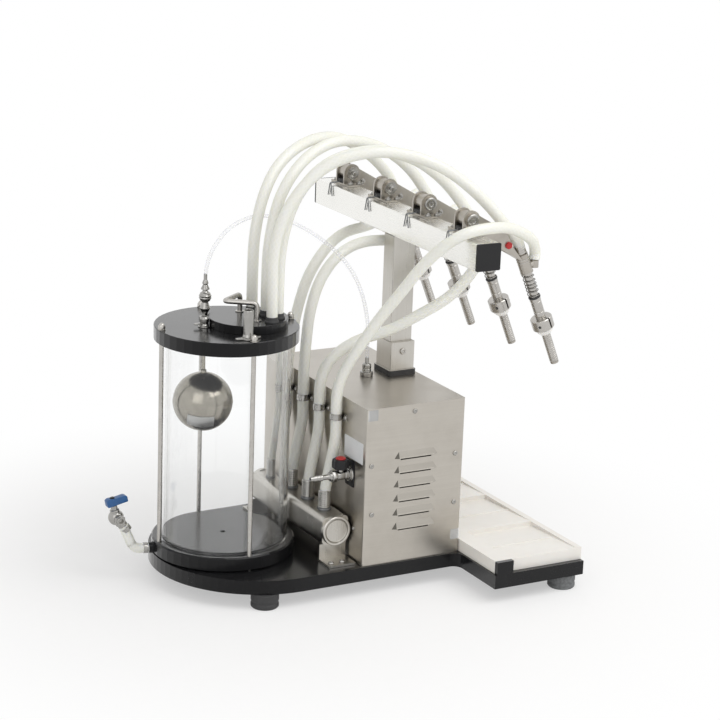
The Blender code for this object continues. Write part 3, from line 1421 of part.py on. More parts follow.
def make_hoses():
    lead = COLLAR_HEIGHT + GAP
    axis = nozzle_axis()
    top = MANIFOLD_Z + MANIFOLD_SIDE / 2 + lead
    pivot = Vector((0, PIVOT_Y, PIVOT_Z))
    for k, x in enumerate(port_xs()):
        station = Vector((STATION_FIRST_X - k * STATION_PITCH, 0, 0))
        port = pivot + station + head_spot()
        port += Vector((0, -PORT_REACH, PORT_COLLAR_HEIGHT / 2 + GAP - PORT_DROP))
        clip = Vector((x, CLIP_Y, CLIP_Z))
        start = Vector((x, MANIFOLD_Y, top))
        rise = Vector((0, 0, CLIP_RISE))
        route = [start, start + Vector((0, 0, HOSE_RADIUS)), start.lerp(clip, CLIP_LEAD_SHARE)]
        route += [clip - rise, clip, clip + rise, *(Vector(p) for p in SUPPLY_ROUTES[k])]
        route += [port + Vector((0, 0, HOSE_RADIUS * PORT_LEAD_SHARE)), port]
        points = smooth_route(route, HOSE_STEP)
        points[0:1] = [start, start + Vector((0, 0, HOSE_RADIUS))]
        points[-1:] = [port + Vector((0, 0, HOSE_RADIUS)), port]
        tube(f"supply_hose_{k + 1}", points, HOSE_RADIUS, "hose")
        print(f"supply hose {k + 1} length {length_of(points):.3f} m")

        px, py = RETURN_PORTS[k]
        start = Vector((px, py, HATCH_TOP + lead))
        end = pivot + station + head_spot() + axis * (HEAD_RISE + GAP)
        route = [start, start + Vector((0, 0, HOSE_RADIUS)), *(Vector(p) for p in RETURN_ROUTES[k])]
        route += [end + axis * HOSE_RADIUS * 2, end]
        points = smooth_route(route, HOSE_STEP)
        points[0:1] = [start, start + Vector((0, 0, HOSE_RADIUS))]
        points[-1:] = [end + axis * HOSE_RADIUS, end]
        tube(f"return_hose_{k + 1}", points, HOSE_RADIUS, "hose")
        print(f"return hose {k + 1} length {length_of(points):.3f} m")

    start = Vector((SUCTION_X, SUCTION_Y, LID_TOP + GAP + SUCTION_TOP + GAP))
    end = Vector((ELBOW_X, ELBOW_Y, elbow_top() + GAP))
    route = [start, *(Vector(p) for p in THIN_ROUTE), end + Vector((0, 0, TUBE_STEP)), end]
    points = smooth_route(route, TUBE_STEP)
    points[0:1] = [start, start + Vector((0, 0, TUBE_RADIUS * 2))]
    points[-1:] = [end + Vector((0, 0, TUBE_RADIUS * 2)), end]
    tube("vacuum_tube", points, TUBE_RADIUS, "hose")
    print(f"vacuum tube length {length_of(points):.3f} m")


def make_drain():
    out = Vector((math.cos(DRAIN_ANGLE), math.sin(DRAIN_ANGLE), 0))
    up = Vector((0, 0, 1))
    way = out * math.cos(DRAIN_SLOPE) + up * math.sin(DRAIN_SLOPE)
    start = out * (JAR_DISC_RADIUS + DRAIN_COLLAR_LENGTH + GAP) + up * (JAR_BASE_TOP - DRAIN_BORE_DEPTH)
    centre = start + out * DRAIN_RUN + up * DRAIN_CLIMB
    end = centre - way * (DRAIN_SOCKET_LENGTH + GAP)
    route = [start, start + out * DRAIN_HOSE_RADIUS, end - way * DRAIN_HOSE_RADIUS, end]
    points = smooth_route(route, DRAIN_HOSE_RADIUS * 2)
    points[0:1] = [start, start + out * DRAIN_HOSE_RADIUS * DRAIN_LEAD_SHARE]
    points[-1:] = [end - way * DRAIN_HOSE_RADIUS * DRAIN_LEAD_SHARE, end]
    tube("drain_hose", points, DRAIN_HOSE_RADIUS, "hose")
    print(f"drain hose length {length_of(points):.3f} m")

    ball = [(0, -DRAIN_BALL_RADIUS)]
    for a in turn_steps(math.pi, 10)[1:-1]:
        ball.append((DRAIN_BALL_RADIUS * math.sin(a), -DRAIN_BALL_RADIUS * math.cos(a)))
    ball.append((0, DRAIN_BALL_RADIUS))
    body = moved(turned(ball, 18), Matrix.Translation(centre))
    lean = (up * math.cos(DRAIN_STEM_LEAN) + Vector((0, 1, 0)) * math.sin(DRAIN_STEM_LEAN)).normalized()
    near = Vector((-1, 0, 0))
    socket = moved(rod(DRAIN_SOCKET_RADIUS, 0, DRAIN_SOCKET_LENGTH, 16), toward(-way, centre))
    outlet = moved(rod(DRAIN_OUTLET_RADIUS, 0, DRAIN_OUTLET_LENGTH, 14), toward(near, centre))
    stem = moved(rod(DRAIN_STEM_RADIUS, 0, DRAIN_STEM_HEIGHT, 12), toward(lean, centre))
    bores = [
        moved(rod(DRAIN_OUTLET_BORE, 0, DRAIN_OUTLET_LENGTH + CUT_OVERRUN, 10), toward(near, centre)),
        moved(
            rod(DRAIN_OUTLET_BORE, -CUT_OVERRUN, DRAIN_SOCKET_LENGTH + CUT_OVERRUN, 10),
            toward(-way, centre),
        ),
    ]
    place("drain_valve", merged(body, (socket, outlet, stem), bores), "nickel")

    half = DRAIN_GRIP_WIDTH / 2
    low = GAP + DRAIN_STEM_HEIGHT
    outline = (
        (-DRAIN_GRIP_REAR, low),
        (DRAIN_GRIP_REACH, low),
        (DRAIN_GRIP_REACH, low + DRAIN_GRIP_HEIGHT - DRAIN_GRIP_TAPER),
        (DRAIN_GRIP_REACH - DRAIN_GRIP_TAPER, low + DRAIN_GRIP_HEIGHT),
        (DRAIN_GRIP_TAPER - DRAIN_GRIP_REAR, low + DRAIN_GRIP_HEIGHT),
        (-DRAIN_GRIP_REAR, low + DRAIN_GRIP_HEIGHT - DRAIN_GRIP_TAPER),
    )
    grip = prism(outline, -half, half, "Y")
    ahead = lean.cross(near)
    handle = place("drain_lever", grip, "blue_plastic", centre)
    handle.rotation_mode = "QUATERNION"
    handle.rotation_quaternion = Matrix((ahead, lean.cross(ahead), lean)).transposed().to_quaternion()


def turn_steps(whole, steps):
    return [whole * s / steps for s in range(steps + 1)]


def centre_frame():
    for thing in bpy.context.scene.objects:
        if thing.parent is None:
            thing.location.y += FRAME_SHIFT


def build():
    clear_scene()
    make_base()
    make_tray()
    make_jar()
    make_hatch()
    make_float()
    make_lid_fittings()
    make_housing()
    make_pump()
    make_valve()
    make_elbow()
    make_manifold()
    make_column()
    make_beam()
    make_stations()
    make_hoses()
    make_drain()
    centre_frame()


build()
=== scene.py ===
import math

import bmesh
import bpy
from mathutils import Matrix, Vector


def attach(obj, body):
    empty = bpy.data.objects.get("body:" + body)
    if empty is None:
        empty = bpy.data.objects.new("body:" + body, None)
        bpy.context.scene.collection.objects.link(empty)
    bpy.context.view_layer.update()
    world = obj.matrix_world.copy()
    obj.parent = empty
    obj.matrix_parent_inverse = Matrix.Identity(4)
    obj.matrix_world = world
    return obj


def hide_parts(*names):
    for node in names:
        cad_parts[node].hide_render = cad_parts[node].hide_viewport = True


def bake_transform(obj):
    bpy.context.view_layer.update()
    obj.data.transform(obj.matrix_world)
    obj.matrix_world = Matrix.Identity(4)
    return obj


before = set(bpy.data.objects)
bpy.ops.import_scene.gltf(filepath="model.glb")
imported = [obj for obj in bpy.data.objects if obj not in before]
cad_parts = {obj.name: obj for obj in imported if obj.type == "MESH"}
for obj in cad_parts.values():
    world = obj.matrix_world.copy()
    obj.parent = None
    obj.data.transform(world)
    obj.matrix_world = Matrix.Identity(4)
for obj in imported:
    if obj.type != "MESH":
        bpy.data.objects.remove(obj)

scene = bpy.context.scene
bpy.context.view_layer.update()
up = Vector((0, 0, 1))
jarY = 0.139  # the jar's axis stands this far behind the frame's origin
lidTop = 0.3673
stationX = (0.1805, 0.068, -0.0445, -0.157)
outletX = (0.075, 0.025, -0.025, -0.075)


def spot(x, y, z):
    # places are measured from the jar's axis
    return Vector((x, y + jarY, z))


def at(x, y, z):
    return Matrix.Translation(spot(x, y, z))


# camera

view = {
    "position": (-2.6971, 1.4397, 1.1781), "ahead": (0.8387, -0.4700, -0.2751),
    "up": (0.2579, -0.10213, 0.96076), "lens": 113.2, "sensor": 36, "farthest": 50,
}


def makeCamera():
    data = bpy.data.cameras.new("photoCamera")
    data.lens = view["lens"]
    data.sensor_width = view["sensor"]
    data.clip_end = view["farthest"]
    camera = bpy.data.objects.new("photoCamera", data)
    back = -Vector(view["ahead"]).normalized()
    right = Vector(view["up"]).cross(back).normalized()
    turn = Matrix((right, back.cross(right), back)).transposed().to_4x4()
    camera.matrix_world = Matrix.Translation(Vector(view["position"])) @ turn
    scene.collection.objects.link(camera)
    scene.camera = camera


makeCamera()
print("camera set")


# finishes

class Wire:
    # a socket that can stand in a sum; each sign adds its Math node
    def __init__(self, finish, socket):
        self.finish = finish
        self.socket = socket

    def __add__(self, other):
        return self.finish.maths("ADD", self, other)

    def __sub__(self, other):
        return self.finish.maths("SUBTRACT", self, other)

    def __rsub__(self, other):
        return self.finish.maths("SUBTRACT", other, self)

    def __mul__(self, other):
        return self.finish.maths("MULTIPLY", self, other)

    def __pow__(self, other):
        return self.finish.maths("POWER", self, other)

    def __rpow__(self, other):
        return self.finish.maths("POWER", other, self)

    __radd__ = __add__
    __rmul__ = __mul__


class Finish:
    # the node tree of a material or a world
    def __init__(self, owner):
        self.owner = owner
        owner.use_nodes = True
        self.tree = owner.node_tree
        self.tree.nodes.clear()

    def add(self, kind, settings=None, values=None, out=0):
        node = self.tree.nodes.new(kind)
        for key, value in (settings or {}).items():
            if key == "stops":
                for stop, (place, colour) in zip(node.color_ramp.elements, value):
                    stop.position = place
                    stop.color = (*colour, 1)
            else:
                setattr(node, key, value)
        for key, value in (values or {}).items():
            socket = node.inputs[key]
            if isinstance(value, Wire):
                self.tree.links.new(value.socket, socket)
            elif socket.type == "RGBA":
                socket.default_value = (*value, 1)
            else:
                socket.default_value = value
        return Wire(self, node.outputs[out]) if node.outputs else None

    def maths(self, sign, *values):
        return self.add("ShaderNodeMath", {"operation": sign}, dict(enumerate(values)))

    def place(self, stretch=None):
        spots = self.add("ShaderNodeTexCoord", out="Object")
        if stretch is None:
            return spots
        return self.add("ShaderNodeVectorMath", {"operation": "MULTIPLY"}, {0: spots, 1: stretch})

    def noise(self, where, scale, detail=3.0, rough=0.5):
        values = {"Vector": where, "Scale": scale, "Detail": detail, "Roughness": rough}
        return self.add("ShaderNodeTexNoise", values=values, out="Fac")

    def split(self, where):
        first = self.add("ShaderNodeSeparateXYZ", values={0: where})
        return [Wire(self, socket) for socket in first.socket.node.outputs]

    def mix(self, share, first, second):
        return self.add("ShaderNodeMix", {"data_type": "RGBA"}, {0: share, 6: first, 7: second}, out=2)

    def bump(self, height, depth):
        return self.add("ShaderNodeBump", values={"Height": height, "Distance": depth, "Strength": 1.0})

    def facing(self, blend):
        return self.add("ShaderNodeLayerWeight", values={"Blend": blend}, out="Facing")

    def seen(self):
        # one where the camera sees it, straight or through metal and glass
        kinds = ("Camera", "Glossy", "Transmission")
        rays = [self.add("ShaderNodeLightPath", out=f"Is {kind} Ray") for kind in kinds]
        return self.maths("MAXIMUM", self.maths("MAXIMUM", rays[0], rays[1]), rays[2])

    def shine(self, values):
        return self.done(self.add("ShaderNodeBsdfPrincipled", values=values))

    def done(self, surface, kind="Material"):
        self.add(f"ShaderNodeOutput{kind}", values={"Surface": surface})
        return self.owner


def newFinish(name):
    return Finish(bpy.data.materials.new(name))


def blackPlastic(name, look):
    paint = newFinish(name)
    where = paint.place()
    cloud = paint.noise(where, 14, 4, 0.6)
    grain = paint.noise(where, 900, 2)
    dust = paint.noise(where, 160, 5, 0.65)
    scratch = paint.noise(paint.place((900, 60, 900)), 1, 2)
    return paint.shine({
        "Base Color": paint.mix(cloud * 0.6 + dust * 0.4, look["dark"], look["light"]),
        "Roughness": look["rough"] + cloud * 0.10 + dust * 0.06 + scratch * 0.04, "IOR": look["ior"],
        "Normal": paint.bump(grain + scratch * 0.6, look["depth"]),
        "Coat Weight": paint.facing(0.5) ** 1.5 * look["coat"], "Coat Roughness": 0.16, "Coat IOR": 1.9,
    })


def brushedSteel(name, look):
    # long fine brush lines along one way, clouded by handling marks
    paint = newFinish(name)
    lines = paint.noise(paint.place(look["brush"]), 1, 3, 0.6)
    coarse = paint.noise(paint.place([part * 0.2 for part in look["brush"]]), 1, 2)
    smudge = paint.noise(paint.place(), look["cloud"], 5, 0.6)
    speck = paint.noise(paint.place(), 420, 3, 0.6)
    colour = paint.mix(lines * 0.35 + coarse * 0.25 + smudge * 0.4, look["dark"], look["light"])
    stops = ((0.42, (0, 0, 0)), (0.72, (1, 1, 1)))
    stain = paint.add("ShaderNodeValToRGB", {"stops": stops}, {0: smudge})
    return paint.shine({
        "Base Color": paint.mix(stain * look["stain"], colour, look["stainTone"]), "Metallic": 1.0,
        "Roughness": look["rough"] + lines * 0.14 + smudge * 0.10 - 0.12,
        "Normal": paint.bump(lines + coarse * 0.5 + speck * 0.15, look["depth"]),
    })


def turnedSteel(name, look):
    # rings left by a lathe, and small pits
    paint = newFinish(name)
    where = paint.place()
    rings = paint.noise(paint.place((60, 60, 2600)), 1, 2)
    pits = paint.noise(where, 700, 3, 0.7)
    cloud = paint.noise(where, 60, 4, 0.6)
    return paint.shine({
        "Base Color": paint.mix(cloud * 0.7 + rings * 0.3, look["dark"], look["light"]), "Metallic": 1.0,
        "Roughness": look["rough"] + pits * 0.12 + rings * 0.06 - 0.06,
        "Normal": paint.bump(rings + pits * 0.5, look["depth"]),
    })


def mouldedPlastic(name, look):
    paint = newFinish(name)
    where = paint.place()
    cloud = paint.noise(where, look["cloud"], 4, 0.6)
    grain = paint.noise(where, look["grain"], 3, 0.6)
    return paint.shine({
        "Base Color": paint.mix(cloud, look["dark"], look["light"]),
        "Roughness": look["rough"] + grain * 0.14, "IOR": 1.5, "Normal": paint.bump(grain, look["depth"]),
        "Subsurface Weight": look.get("inside", 0), "Subsurface Radius": (1.0, 0.8, 0.6),
        "Subsurface Scale": 0.003,
    })


def braidedHose(name, look):
    # a milky wall over two sets of reinforcing threads that cross round the hose
    paint = newFinish(name)
    around, along, _ = paint.split(paint.add("ShaderNodeUVMap"))
    threads = []
    for way in (1, -1):
        turns = around * look["threads"] + along * (way / look["pitch"])
        threads.append((paint.maths("SINE", turns * math.tau) * 0.5 + 0.5) ** 6)
    braid = paint.maths("MAXIMUM", *threads)
    where = paint.place()
    film = paint.noise(where, 300, 3, 0.6)
    facing = paint.facing(0.4)
    colour = paint.mix(paint.noise(where, 25, 4, 0.6), look["dark"], look["light"])
    colour = paint.mix(braid * look["weave"], colour, look["thread"])
    return paint.shine({
        "Base Color": paint.mix(facing ** 2 * 0.7, colour, look["edge"]), "Roughness": 0.26 + film * 0.16,
        "IOR": 1.45, "Normal": paint.bump(braid + film * 0.3, look["depth"]),
        "Subsurface Weight": 0.35, "Subsurface Radius": (1.0, 0.95, 0.75), "Subsurface Scale": 0.005,
        "Coat Weight": 0.25, "Coat Roughness": 0.12,
        "Alpha": look["body"] + facing * look["rim"] + braid * 0.02,
    })


def clearWall(name, look):
    # cast acrylic with a faint haze
    paint = newFinish(name)
    haze = paint.noise(paint.place(), 40, 4, 0.6)
    return paint.shine({
        "Base Color": paint.mix(haze, look["dark"], look["light"]), "Roughness": 0.01 + haze * 0.03,
        "Transmission Weight": 1.0, "IOR": look["ior"], "Normal": paint.bump(haze, look["depth"]),
    })


def plainCard(name, look):
    paint = newFinish(name)
    where = paint.place()
    fibre = paint.noise(where, 1500, 3, 0.7)
    return paint.shine({
        "Base Color": paint.mix(paint.noise(where, 90, 4, 0.6), look["dark"], look["light"]),
        "Roughness": look["rough"] + fibre * 0.2, "Metallic": look["metal"],
        "Alpha": look["body"] + fibre * 0.05, "Normal": paint.bump(fibre, look["depth"]),
    })


def look(dark, light, rough, depth, **others):
    return {"dark": dark, "light": light, "rough": rough, "depth": depth, **others}


acetal = blackPlastic("blackAcetal", look(
    (0.005, 0.005, 0.0055), (0.013, 0.013, 0.014), 0.14, 0.00002, ior=1.25, coat=0.95))
moulding = blackPlastic("blackMoulding", look(
    (0.010, 0.010, 0.011), (0.024, 0.024, 0.025), 0.40, 0.00006, ior=1.33, coat=0.2))
sheetSteel = brushedSteel("sheetSteel", look(
    (0.42, 0.39, 0.345), (0.60, 0.57, 0.52), 0.32, 0.00003,
    brush=(18, 18, 900), cloud=16, stain=0.35, stainTone=(0.33, 0.30, 0.26)))
sectionSteel = brushedSteel("sectionSteel", look(
    (0.46, 0.44, 0.40), (0.66, 0.64, 0.60), 0.30, 0.00003,
    brush=(900, 900, 14), cloud=22, stain=0.25, stainTone=(0.36, 0.34, 0.30)))
beamSteel = brushedSteel("beamSteel", look(
    (0.84, 0.83, 0.79), (0.94, 0.935, 0.91), 0.26, 0.00002,
    brush=(14, 900, 900), cloud=22, stain=0.12, stainTone=(0.66, 0.64, 0.58)))
plateSteel = brushedSteel("plateSteel", look(
    (0.38, 0.355, 0.315), (0.54, 0.51, 0.465), 0.32, 0.00003,
    brush=(900, 40, 40), cloud=60, stain=0.35, stainTone=(0.27, 0.245, 0.21)))
# painted shade: the hoods' steel is the housing's sheet steel made darker, and their ends' steel is darker
# still
hoodSteelPaintedShade = brushedSteel("hoodSteelPaintedShade", look(
    (0.36, 0.335, 0.295), (0.50, 0.475, 0.43), 0.34, 0.00003,
    brush=(18, 18, 900), cloud=16, stain=0.35, stainTone=(0.30, 0.275, 0.24)))
hoodEndPaintedShade = brushedSteel("hoodEndPaintedShade", look(
    (0.10, 0.094, 0.082), (0.17, 0.16, 0.14), 0.36, 0.00003,
    brush=(18, 18, 900), cloud=60, stain=0.3, stainTone=(0.06, 0.056, 0.05)))
turned = turnedSteel("turnedSteel", look((0.38, 0.365, 0.34), (0.60, 0.58, 0.55), 0.24, 0.00003))
nickel = turnedSteel("nickelPlate", look((0.27, 0.265, 0.25), (0.46, 0.45, 0.43), 0.20, 0.00003))
springWire = turnedSteel("springWire", look((0.17, 0.165, 0.155), (0.30, 0.29, 0.275), 0.24, 0.00002))
floatSteel = turnedSteel("spunFloatSteel", look((0.24, 0.225, 0.19), (0.44, 0.415, 0.36), 0.17, 0.00002))
castMetal = turnedSteel("castMotor", look((0.16, 0.165, 0.17), (0.26, 0.265, 0.27), 0.5, 0.0003))
dustyRubber = mouldedPlastic("dustyRubber", look(
    (0.035, 0.037, 0.038), (0.26, 0.27, 0.275), 0.6, 0.00012, cloud=260, grain=800))
rubber = mouldedPlastic("darkRubber", look(
    (0.018, 0.018, 0.018), (0.05, 0.05, 0.052), 0.55, 0.00008, cloud=60, grain=800))
trayPlastic = mouldedPlastic("whiteTray", look(
    (0.80, 0.765, 0.71), (0.90, 0.885, 0.85), 0.34, 0.00006, cloud=16, grain=500, inside=0.12))
conePlastic = mouldedPlastic("whiteCone", look(
    (0.82, 0.80, 0.77), (0.90, 0.89, 0.87), 0.30, 0.00004, cloud=60, grain=700, inside=0.1))
bluePlastic = mouldedPlastic("blueLever", look(
    (0.012, 0.075, 0.22), (0.03, 0.13, 0.34), 0.28, 0.00005, cloud=120, grain=900))
redPlastic = mouldedPlastic("redPlug", look(
    (0.42, 0.012, 0.014), (0.60, 0.03, 0.03), 0.25, 0.00004, cloud=120, grain=900))
hoseWall = braidedHose("milkyHose", look(
    (0.92, 0.92, 0.84), (0.96, 0.96, 0.90), 0.26, 0.00012, thread=(0.98, 0.98, 0.95),
    edge=(0.80, 0.81, 0.64), pitch=0.009, threads=8, weave=0.3, body=0.86, rim=0.10))
thinWall = braidedHose("thinTube", look(
    (0.88, 0.89, 0.95), (0.93, 0.94, 0.98), 0.26, 0.00001, thread=(0.95, 0.96, 0.99),
    edge=(0.80, 0.82, 0.92), pitch=0.004, threads=3, weave=0.05, body=0.14, rim=0.35))
clearAcrylic = clearWall("clearAcrylic", look(
    (0.985, 0.99, 0.99), (0.995, 0.998, 0.998), 0.01, 0.00001, ior=1.4))
blankCard = plainCard("blankCard", look(
    (0.74, 0.76, 0.77), (0.84, 0.855, 0.86), 0.35, 0.00003, metal=0, body=1))
blankFoil = plainCard("blankFoil", look(
    (0.52, 0.52, 0.51), (0.64, 0.64, 0.63), 0.30, 0.00003, metal=0.9, body=1))
clearTape = plainCard("clearTape", look(
    (0.80, 0.81, 0.82), (0.88, 0.89, 0.90), 0.25, 0.00003, metal=0, body=0.42))
print("finishes made")


# shaping tools

def softened(mesh):
    mesh.shade_smooth()
    mesh.set_sharp_from_angle(angle=math.radians(32))
    return mesh


def meshOf(bm, place=None):
    bmesh.ops.recalc_face_normals(bm, faces=bm.faces)
    mesh = bpy.data.meshes.new("shape")
    bm.to_mesh(mesh)
    bm.free()
    if place is not None:
        mesh.transform(place)
    return softened(mesh)


def gathered(*meshes):
    bm = bmesh.new()
    for mesh in meshes:
        bm.from_mesh(mesh)
    mesh = bpy.data.meshes.new("gathered")
    bm.to_mesh(mesh)
    bm.free()
    return softened(mesh)


def bend(start, corner, stop, steps):
    # points on a small curve that cuts a corner
    shares = [s / steps for s in range(steps + 1)]
    return [start * (1 - t) ** 2 + corner * 2 * t * (1 - t) + stop * t * t for t in shares]


def rounded(profile, radius, steps=3, closed=True):
    count = len(profile)
    result = []
    for k, corner in enumerate(profile):
        here = Vector(corner)
        before = Vector(profile[k - 1]) - here
        after = Vector(profile[(k + 1) % count]) - here
        room = min(radius, before.length * 0.45, after.length * 0.45)
        straight = before.normalized().dot(after.normalized()) < -0.97
        if straight or room < 1e-5 or (not closed and k in (0, count - 1)):
            result.append(corner)
            continue
        start, stop = here + before.normalized() * room, here + after.normalized() * room
        result += [tuple(point) for point in bend(start, here, stop, steps)]
    return result


def lathe(profile, sides=40, edge=0.0, place=None):
    # spins (radius, height) pairs about Z
    closed = profile[0][0] > 0 and profile[-1][0] > 0
    if edge:
        profile = rounded(profile, edge, closed=closed)
    bm = bmesh.new()
    row = [bm.verts.new((r, 0, z)) for r, z in profile]
    pairs = list(zip(row, row[1:]))
    if closed:
        pairs.append((row[-1], row[0]))
    edges = [bm.edges.new(pair) for pair in pairs]
    bmesh.ops.spin(bm, geom=row + edges, cent=(0, 0, 0), axis=up, angle=math.tau, steps=sides)
    bmesh.ops.remove_doubles(bm, verts=bm.verts, dist=1e-6)
    return meshOf(bm, place)


def cylinder(radius, height, sides=32, edge=0.0, place=None):
    return lathe(((0, 0), (radius, 0), (radius, height), (0, height)), sides, edge, place)


def slab(outline, low, high, axis="Z", edge=0.0, steps=2, place=None):
    order = {"X": (2, 0, 1), "Y": (0, 2, 1), "Z": (0, 1, 2)}[axis]
    bm = bmesh.new()
    face = bm.faces.new([bm.verts.new([(u, v, low)[k] for k in order]) for u, v in outline])
    pulled = bmesh.ops.extrude_face_region(bm, geom=[face])["geom"]
    step = [(0, 0, high - low)[k] for k in order]
    bmesh.ops.translate(bm, vec=step, verts=[g for g in pulled if isinstance(g, bmesh.types.BMVert)])
    if edge:
        sharp = [e for e in bm.edges if e.calc_face_angle(0) > 0.5]
        bmesh.ops.bevel(bm, geom=sharp, offset=edge, segments=steps, profile=0.5, affect="EDGES",
                        clamp_overlap=True)
    return meshOf(bm, place)


def box(u0, u1, v0, v1):
    return ((u0, v0), (u1, v0), (u1, v1), (u0, v1))


def block(low, high, edge=0.0):
    return slab(box(low[0], high[0], low[1], high[1]), low[2], high[2], edge=edge)


def hexNut(radius, height, place):
    corners = [(radius * math.cos(math.tau * k / 6), radius * math.sin(math.tau * k / 6)) for k in range(6)]
    return slab(corners, 0, height, edge=radius * 0.08, place=place)


def screwHead(radius, height, place, sides=28):
    # a round head with a driver recess
    floor = height * 0.45
    hole = radius * 0.38
    profile = ((0, floor), (hole * 0.9, floor), (hole, height), (radius * 0.8, height * 0.98),
               (radius, height * 0.55), (radius, 0), (0, 0))
    return lathe(profile, sides, radius * 0.12, place)


def skin(rows, ends=True, loop=False):
    # joins rings of points; a loop of rings closes on itself and needs no ends
    bm = bmesh.new()
    rows = [[bm.verts.new(point) for point in row] for row in rows]
    count = len(rows[0])
    for a, b in zip(rows, rows[1:] + rows[:1] if loop else rows[1:]):
        for k in range(count):
            n = (k + 1) % count
            bm.faces.new((a[k], a[n], b[n], b[k]))
    if ends:
        bm.faces.new(rows[0][::-1])
        bm.faces.new(rows[-1])
    return bm


def smoothRoute(points, step):
    knots = [Vector(p) for p in points]
    knots = [knots[0] * 2 - knots[1], *knots, knots[-1] * 2 - knots[-2]]
    fine = [knots[1]]
    for a, b, c, d in zip(knots, knots[1:], knots[2:], knots[3:]):
        count = max(3, round((c - b).length / step))
        for s in range(1, count + 1):
            t = s / count
            square = a * 2 - b * 5 + c * 4 - d
            cube = b * 3 - a - c * 3 + d
            fine.append((b * 2 + (c - a) * t + square * t ** 2 + cube * t ** 3) / 2)
    return fine


def relaxed(points, rounds, hold):
    # evens out a route without moving its ends
    for _ in range(rounds):
        even = [p.copy() for p in points]
        for k in range(hold, len(points) - hold):
            even[k] = points[k] * 0.5 + (points[k - 1] + points[k + 1]) * 0.25
        points = even
    return points


def filletRoute(points, radius, steps):
    route = [points[0]]
    for before, here, after in zip(points, points[1:], points[2:]):
        start = here + (before - here).normalized() * radius
        stop = here + (after - here).normalized() * radius
        route += bend(start, here, stop, steps)
    return [*route, points[-1]]


def sweep(points, radius, sides):
    # a round tube along points, whose UV has turns along U and metres along V
    ahead = (points[1] - points[0]).normalized()
    side = ahead.orthogonal().normalized()
    rows, along = [], [0.0]
    for k, here in enumerate(points):
        onward = (points[min(k + 1, len(points) - 1)] - points[max(k - 1, 0)]).normalized()
        side = (ahead.rotation_difference(onward) @ side).normalized()
        ahead = onward
        other = ahead.cross(side)
        angles = [math.tau * s / sides for s in range(sides)]
        rows.append([here + (side * math.cos(a) + other * math.sin(a)) * radius for a in angles])
        if k:
            along.append(along[-1] + (here - points[k - 1]).length)
    bm = skin(rows)
    bm.faces.ensure_lookup_table()
    uv = bm.loops.layers.uv.new("UVMap")
    for k in range(len(rows) - 1):
        for s in range(sides):
            spots = ((s, k), (s + 1, k), (s + 1, k + 1), (s, k + 1))
            for loop, (u, v) in zip(bm.faces[k * sides + s].loops, spots):
                loop[uv].uv = (u / sides, along[v])
    return meshOf(bm)


def turnTo(direction, origin=(0, 0, 0)):
    turn = up.rotation_difference(Vector(direction)).to_matrix().to_4x4()
    return Matrix.Translation(Vector(origin)) @ turn


def piece(name, mesh, finish, body="machine", stands=()):
    made = bpy.data.objects.new(name, mesh)
    scene.collection.objects.link(made)
    mesh.materials.append(finish)
    if body:
        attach(made, body)
    if stands:
        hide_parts(*stands)
    return made


def dress(finish, *names):
    for name in names:
        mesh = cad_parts[name].data
        mesh.materials.clear()
        mesh.materials.append(finish)


# base, feet and tray

foot = {
    "places": ((-0.128, -0.004), (0.128, -0.004), (-0.228, -0.422), (0.228, -0.422)), "dusty": 2,
    "profile": ((0, 0), (0.0175, 0), (0.0195, 0.002), (0.0195, 0.006), (0.0186, 0.0075), (0.0186, 0.0095),
                (0.0195, 0.011), (0.0195, 0.0207), (0.0185, 0.0217), (0, 0.0217)),
}
trayRib = {"pitch": 0.125, "shift": 0.062, "half": 0.0011, "front": -0.4335, "rear": -0.3260,
           "low": 0.0545, "high": 0.0585}


def makeBase():
    dress(acetal, "base_plate", "jar_base", "jar_lid", "hatch_lid")
    dress(moulding, "beam_cap_1", "beam_cap_2")
    dress(trayPlastic, "bottle_tray")
    for k, (x, y) in enumerate(foot["places"]):
        mesh = lathe(foot["profile"], 48, 0.0007, at(x, y, 0))
        cover = dustyRubber if k == foot["dusty"] else rubber
        piece(f"footPad{k + 1}", mesh, cover, stands=[f"foot_{k + 1}"])
    strips = []
    for k in range(4):
        x = (k - 2) * trayRib["pitch"] + trayRib["shift"]
        low = spot(x - trayRib["half"], trayRib["front"], trayRib["low"])
        high = spot(x + trayRib["half"], trayRib["rear"], trayRib["high"])
        strips.append(block(low, high, 0.0005))
    piece("trayRibs", gathered(*strips), trayPlastic)


makeBase()
print("base, feet and tray made")


# overflow jar

jar = {
    "wall": box(0.0853, 0.0900, 0.0633, 0.3477), "sides": 180, "seal": box(0.0845, 0.0852, 0.0628, 0.0652),
}
tieRod = {"circle": 0.095, "turn": -3, "radius": 0.0032, "low": 0.0425, "washer": (0.0054, 0.0009),
          "nut": (0.0051, 0.0048), "dome": 0.0040, "domeAt": 0.0055, "domeLow": 0.0050}
handle = {"x": -0.013, "y": -0.026, "half": 0.0268, "reach": 0.0375, "low": 0.3793, "high": 0.4038,
          "rod": 0.0035, "corner": 0.0078, "foot": (0.0062, 0.0012), "footLow": 0.3792}
bush = {
    "places": ((0.009, -0.042), (-0.017, -0.051), (-0.037, -0.059), (-0.053, -0.042)), "low": 0.3788,
    "profile": ((0, 0), (0.0099, 0), (0.0099, 0.0024), (0.0087, 0.0030), (0.0081, 0.0080), (0, 0.0080)),
}


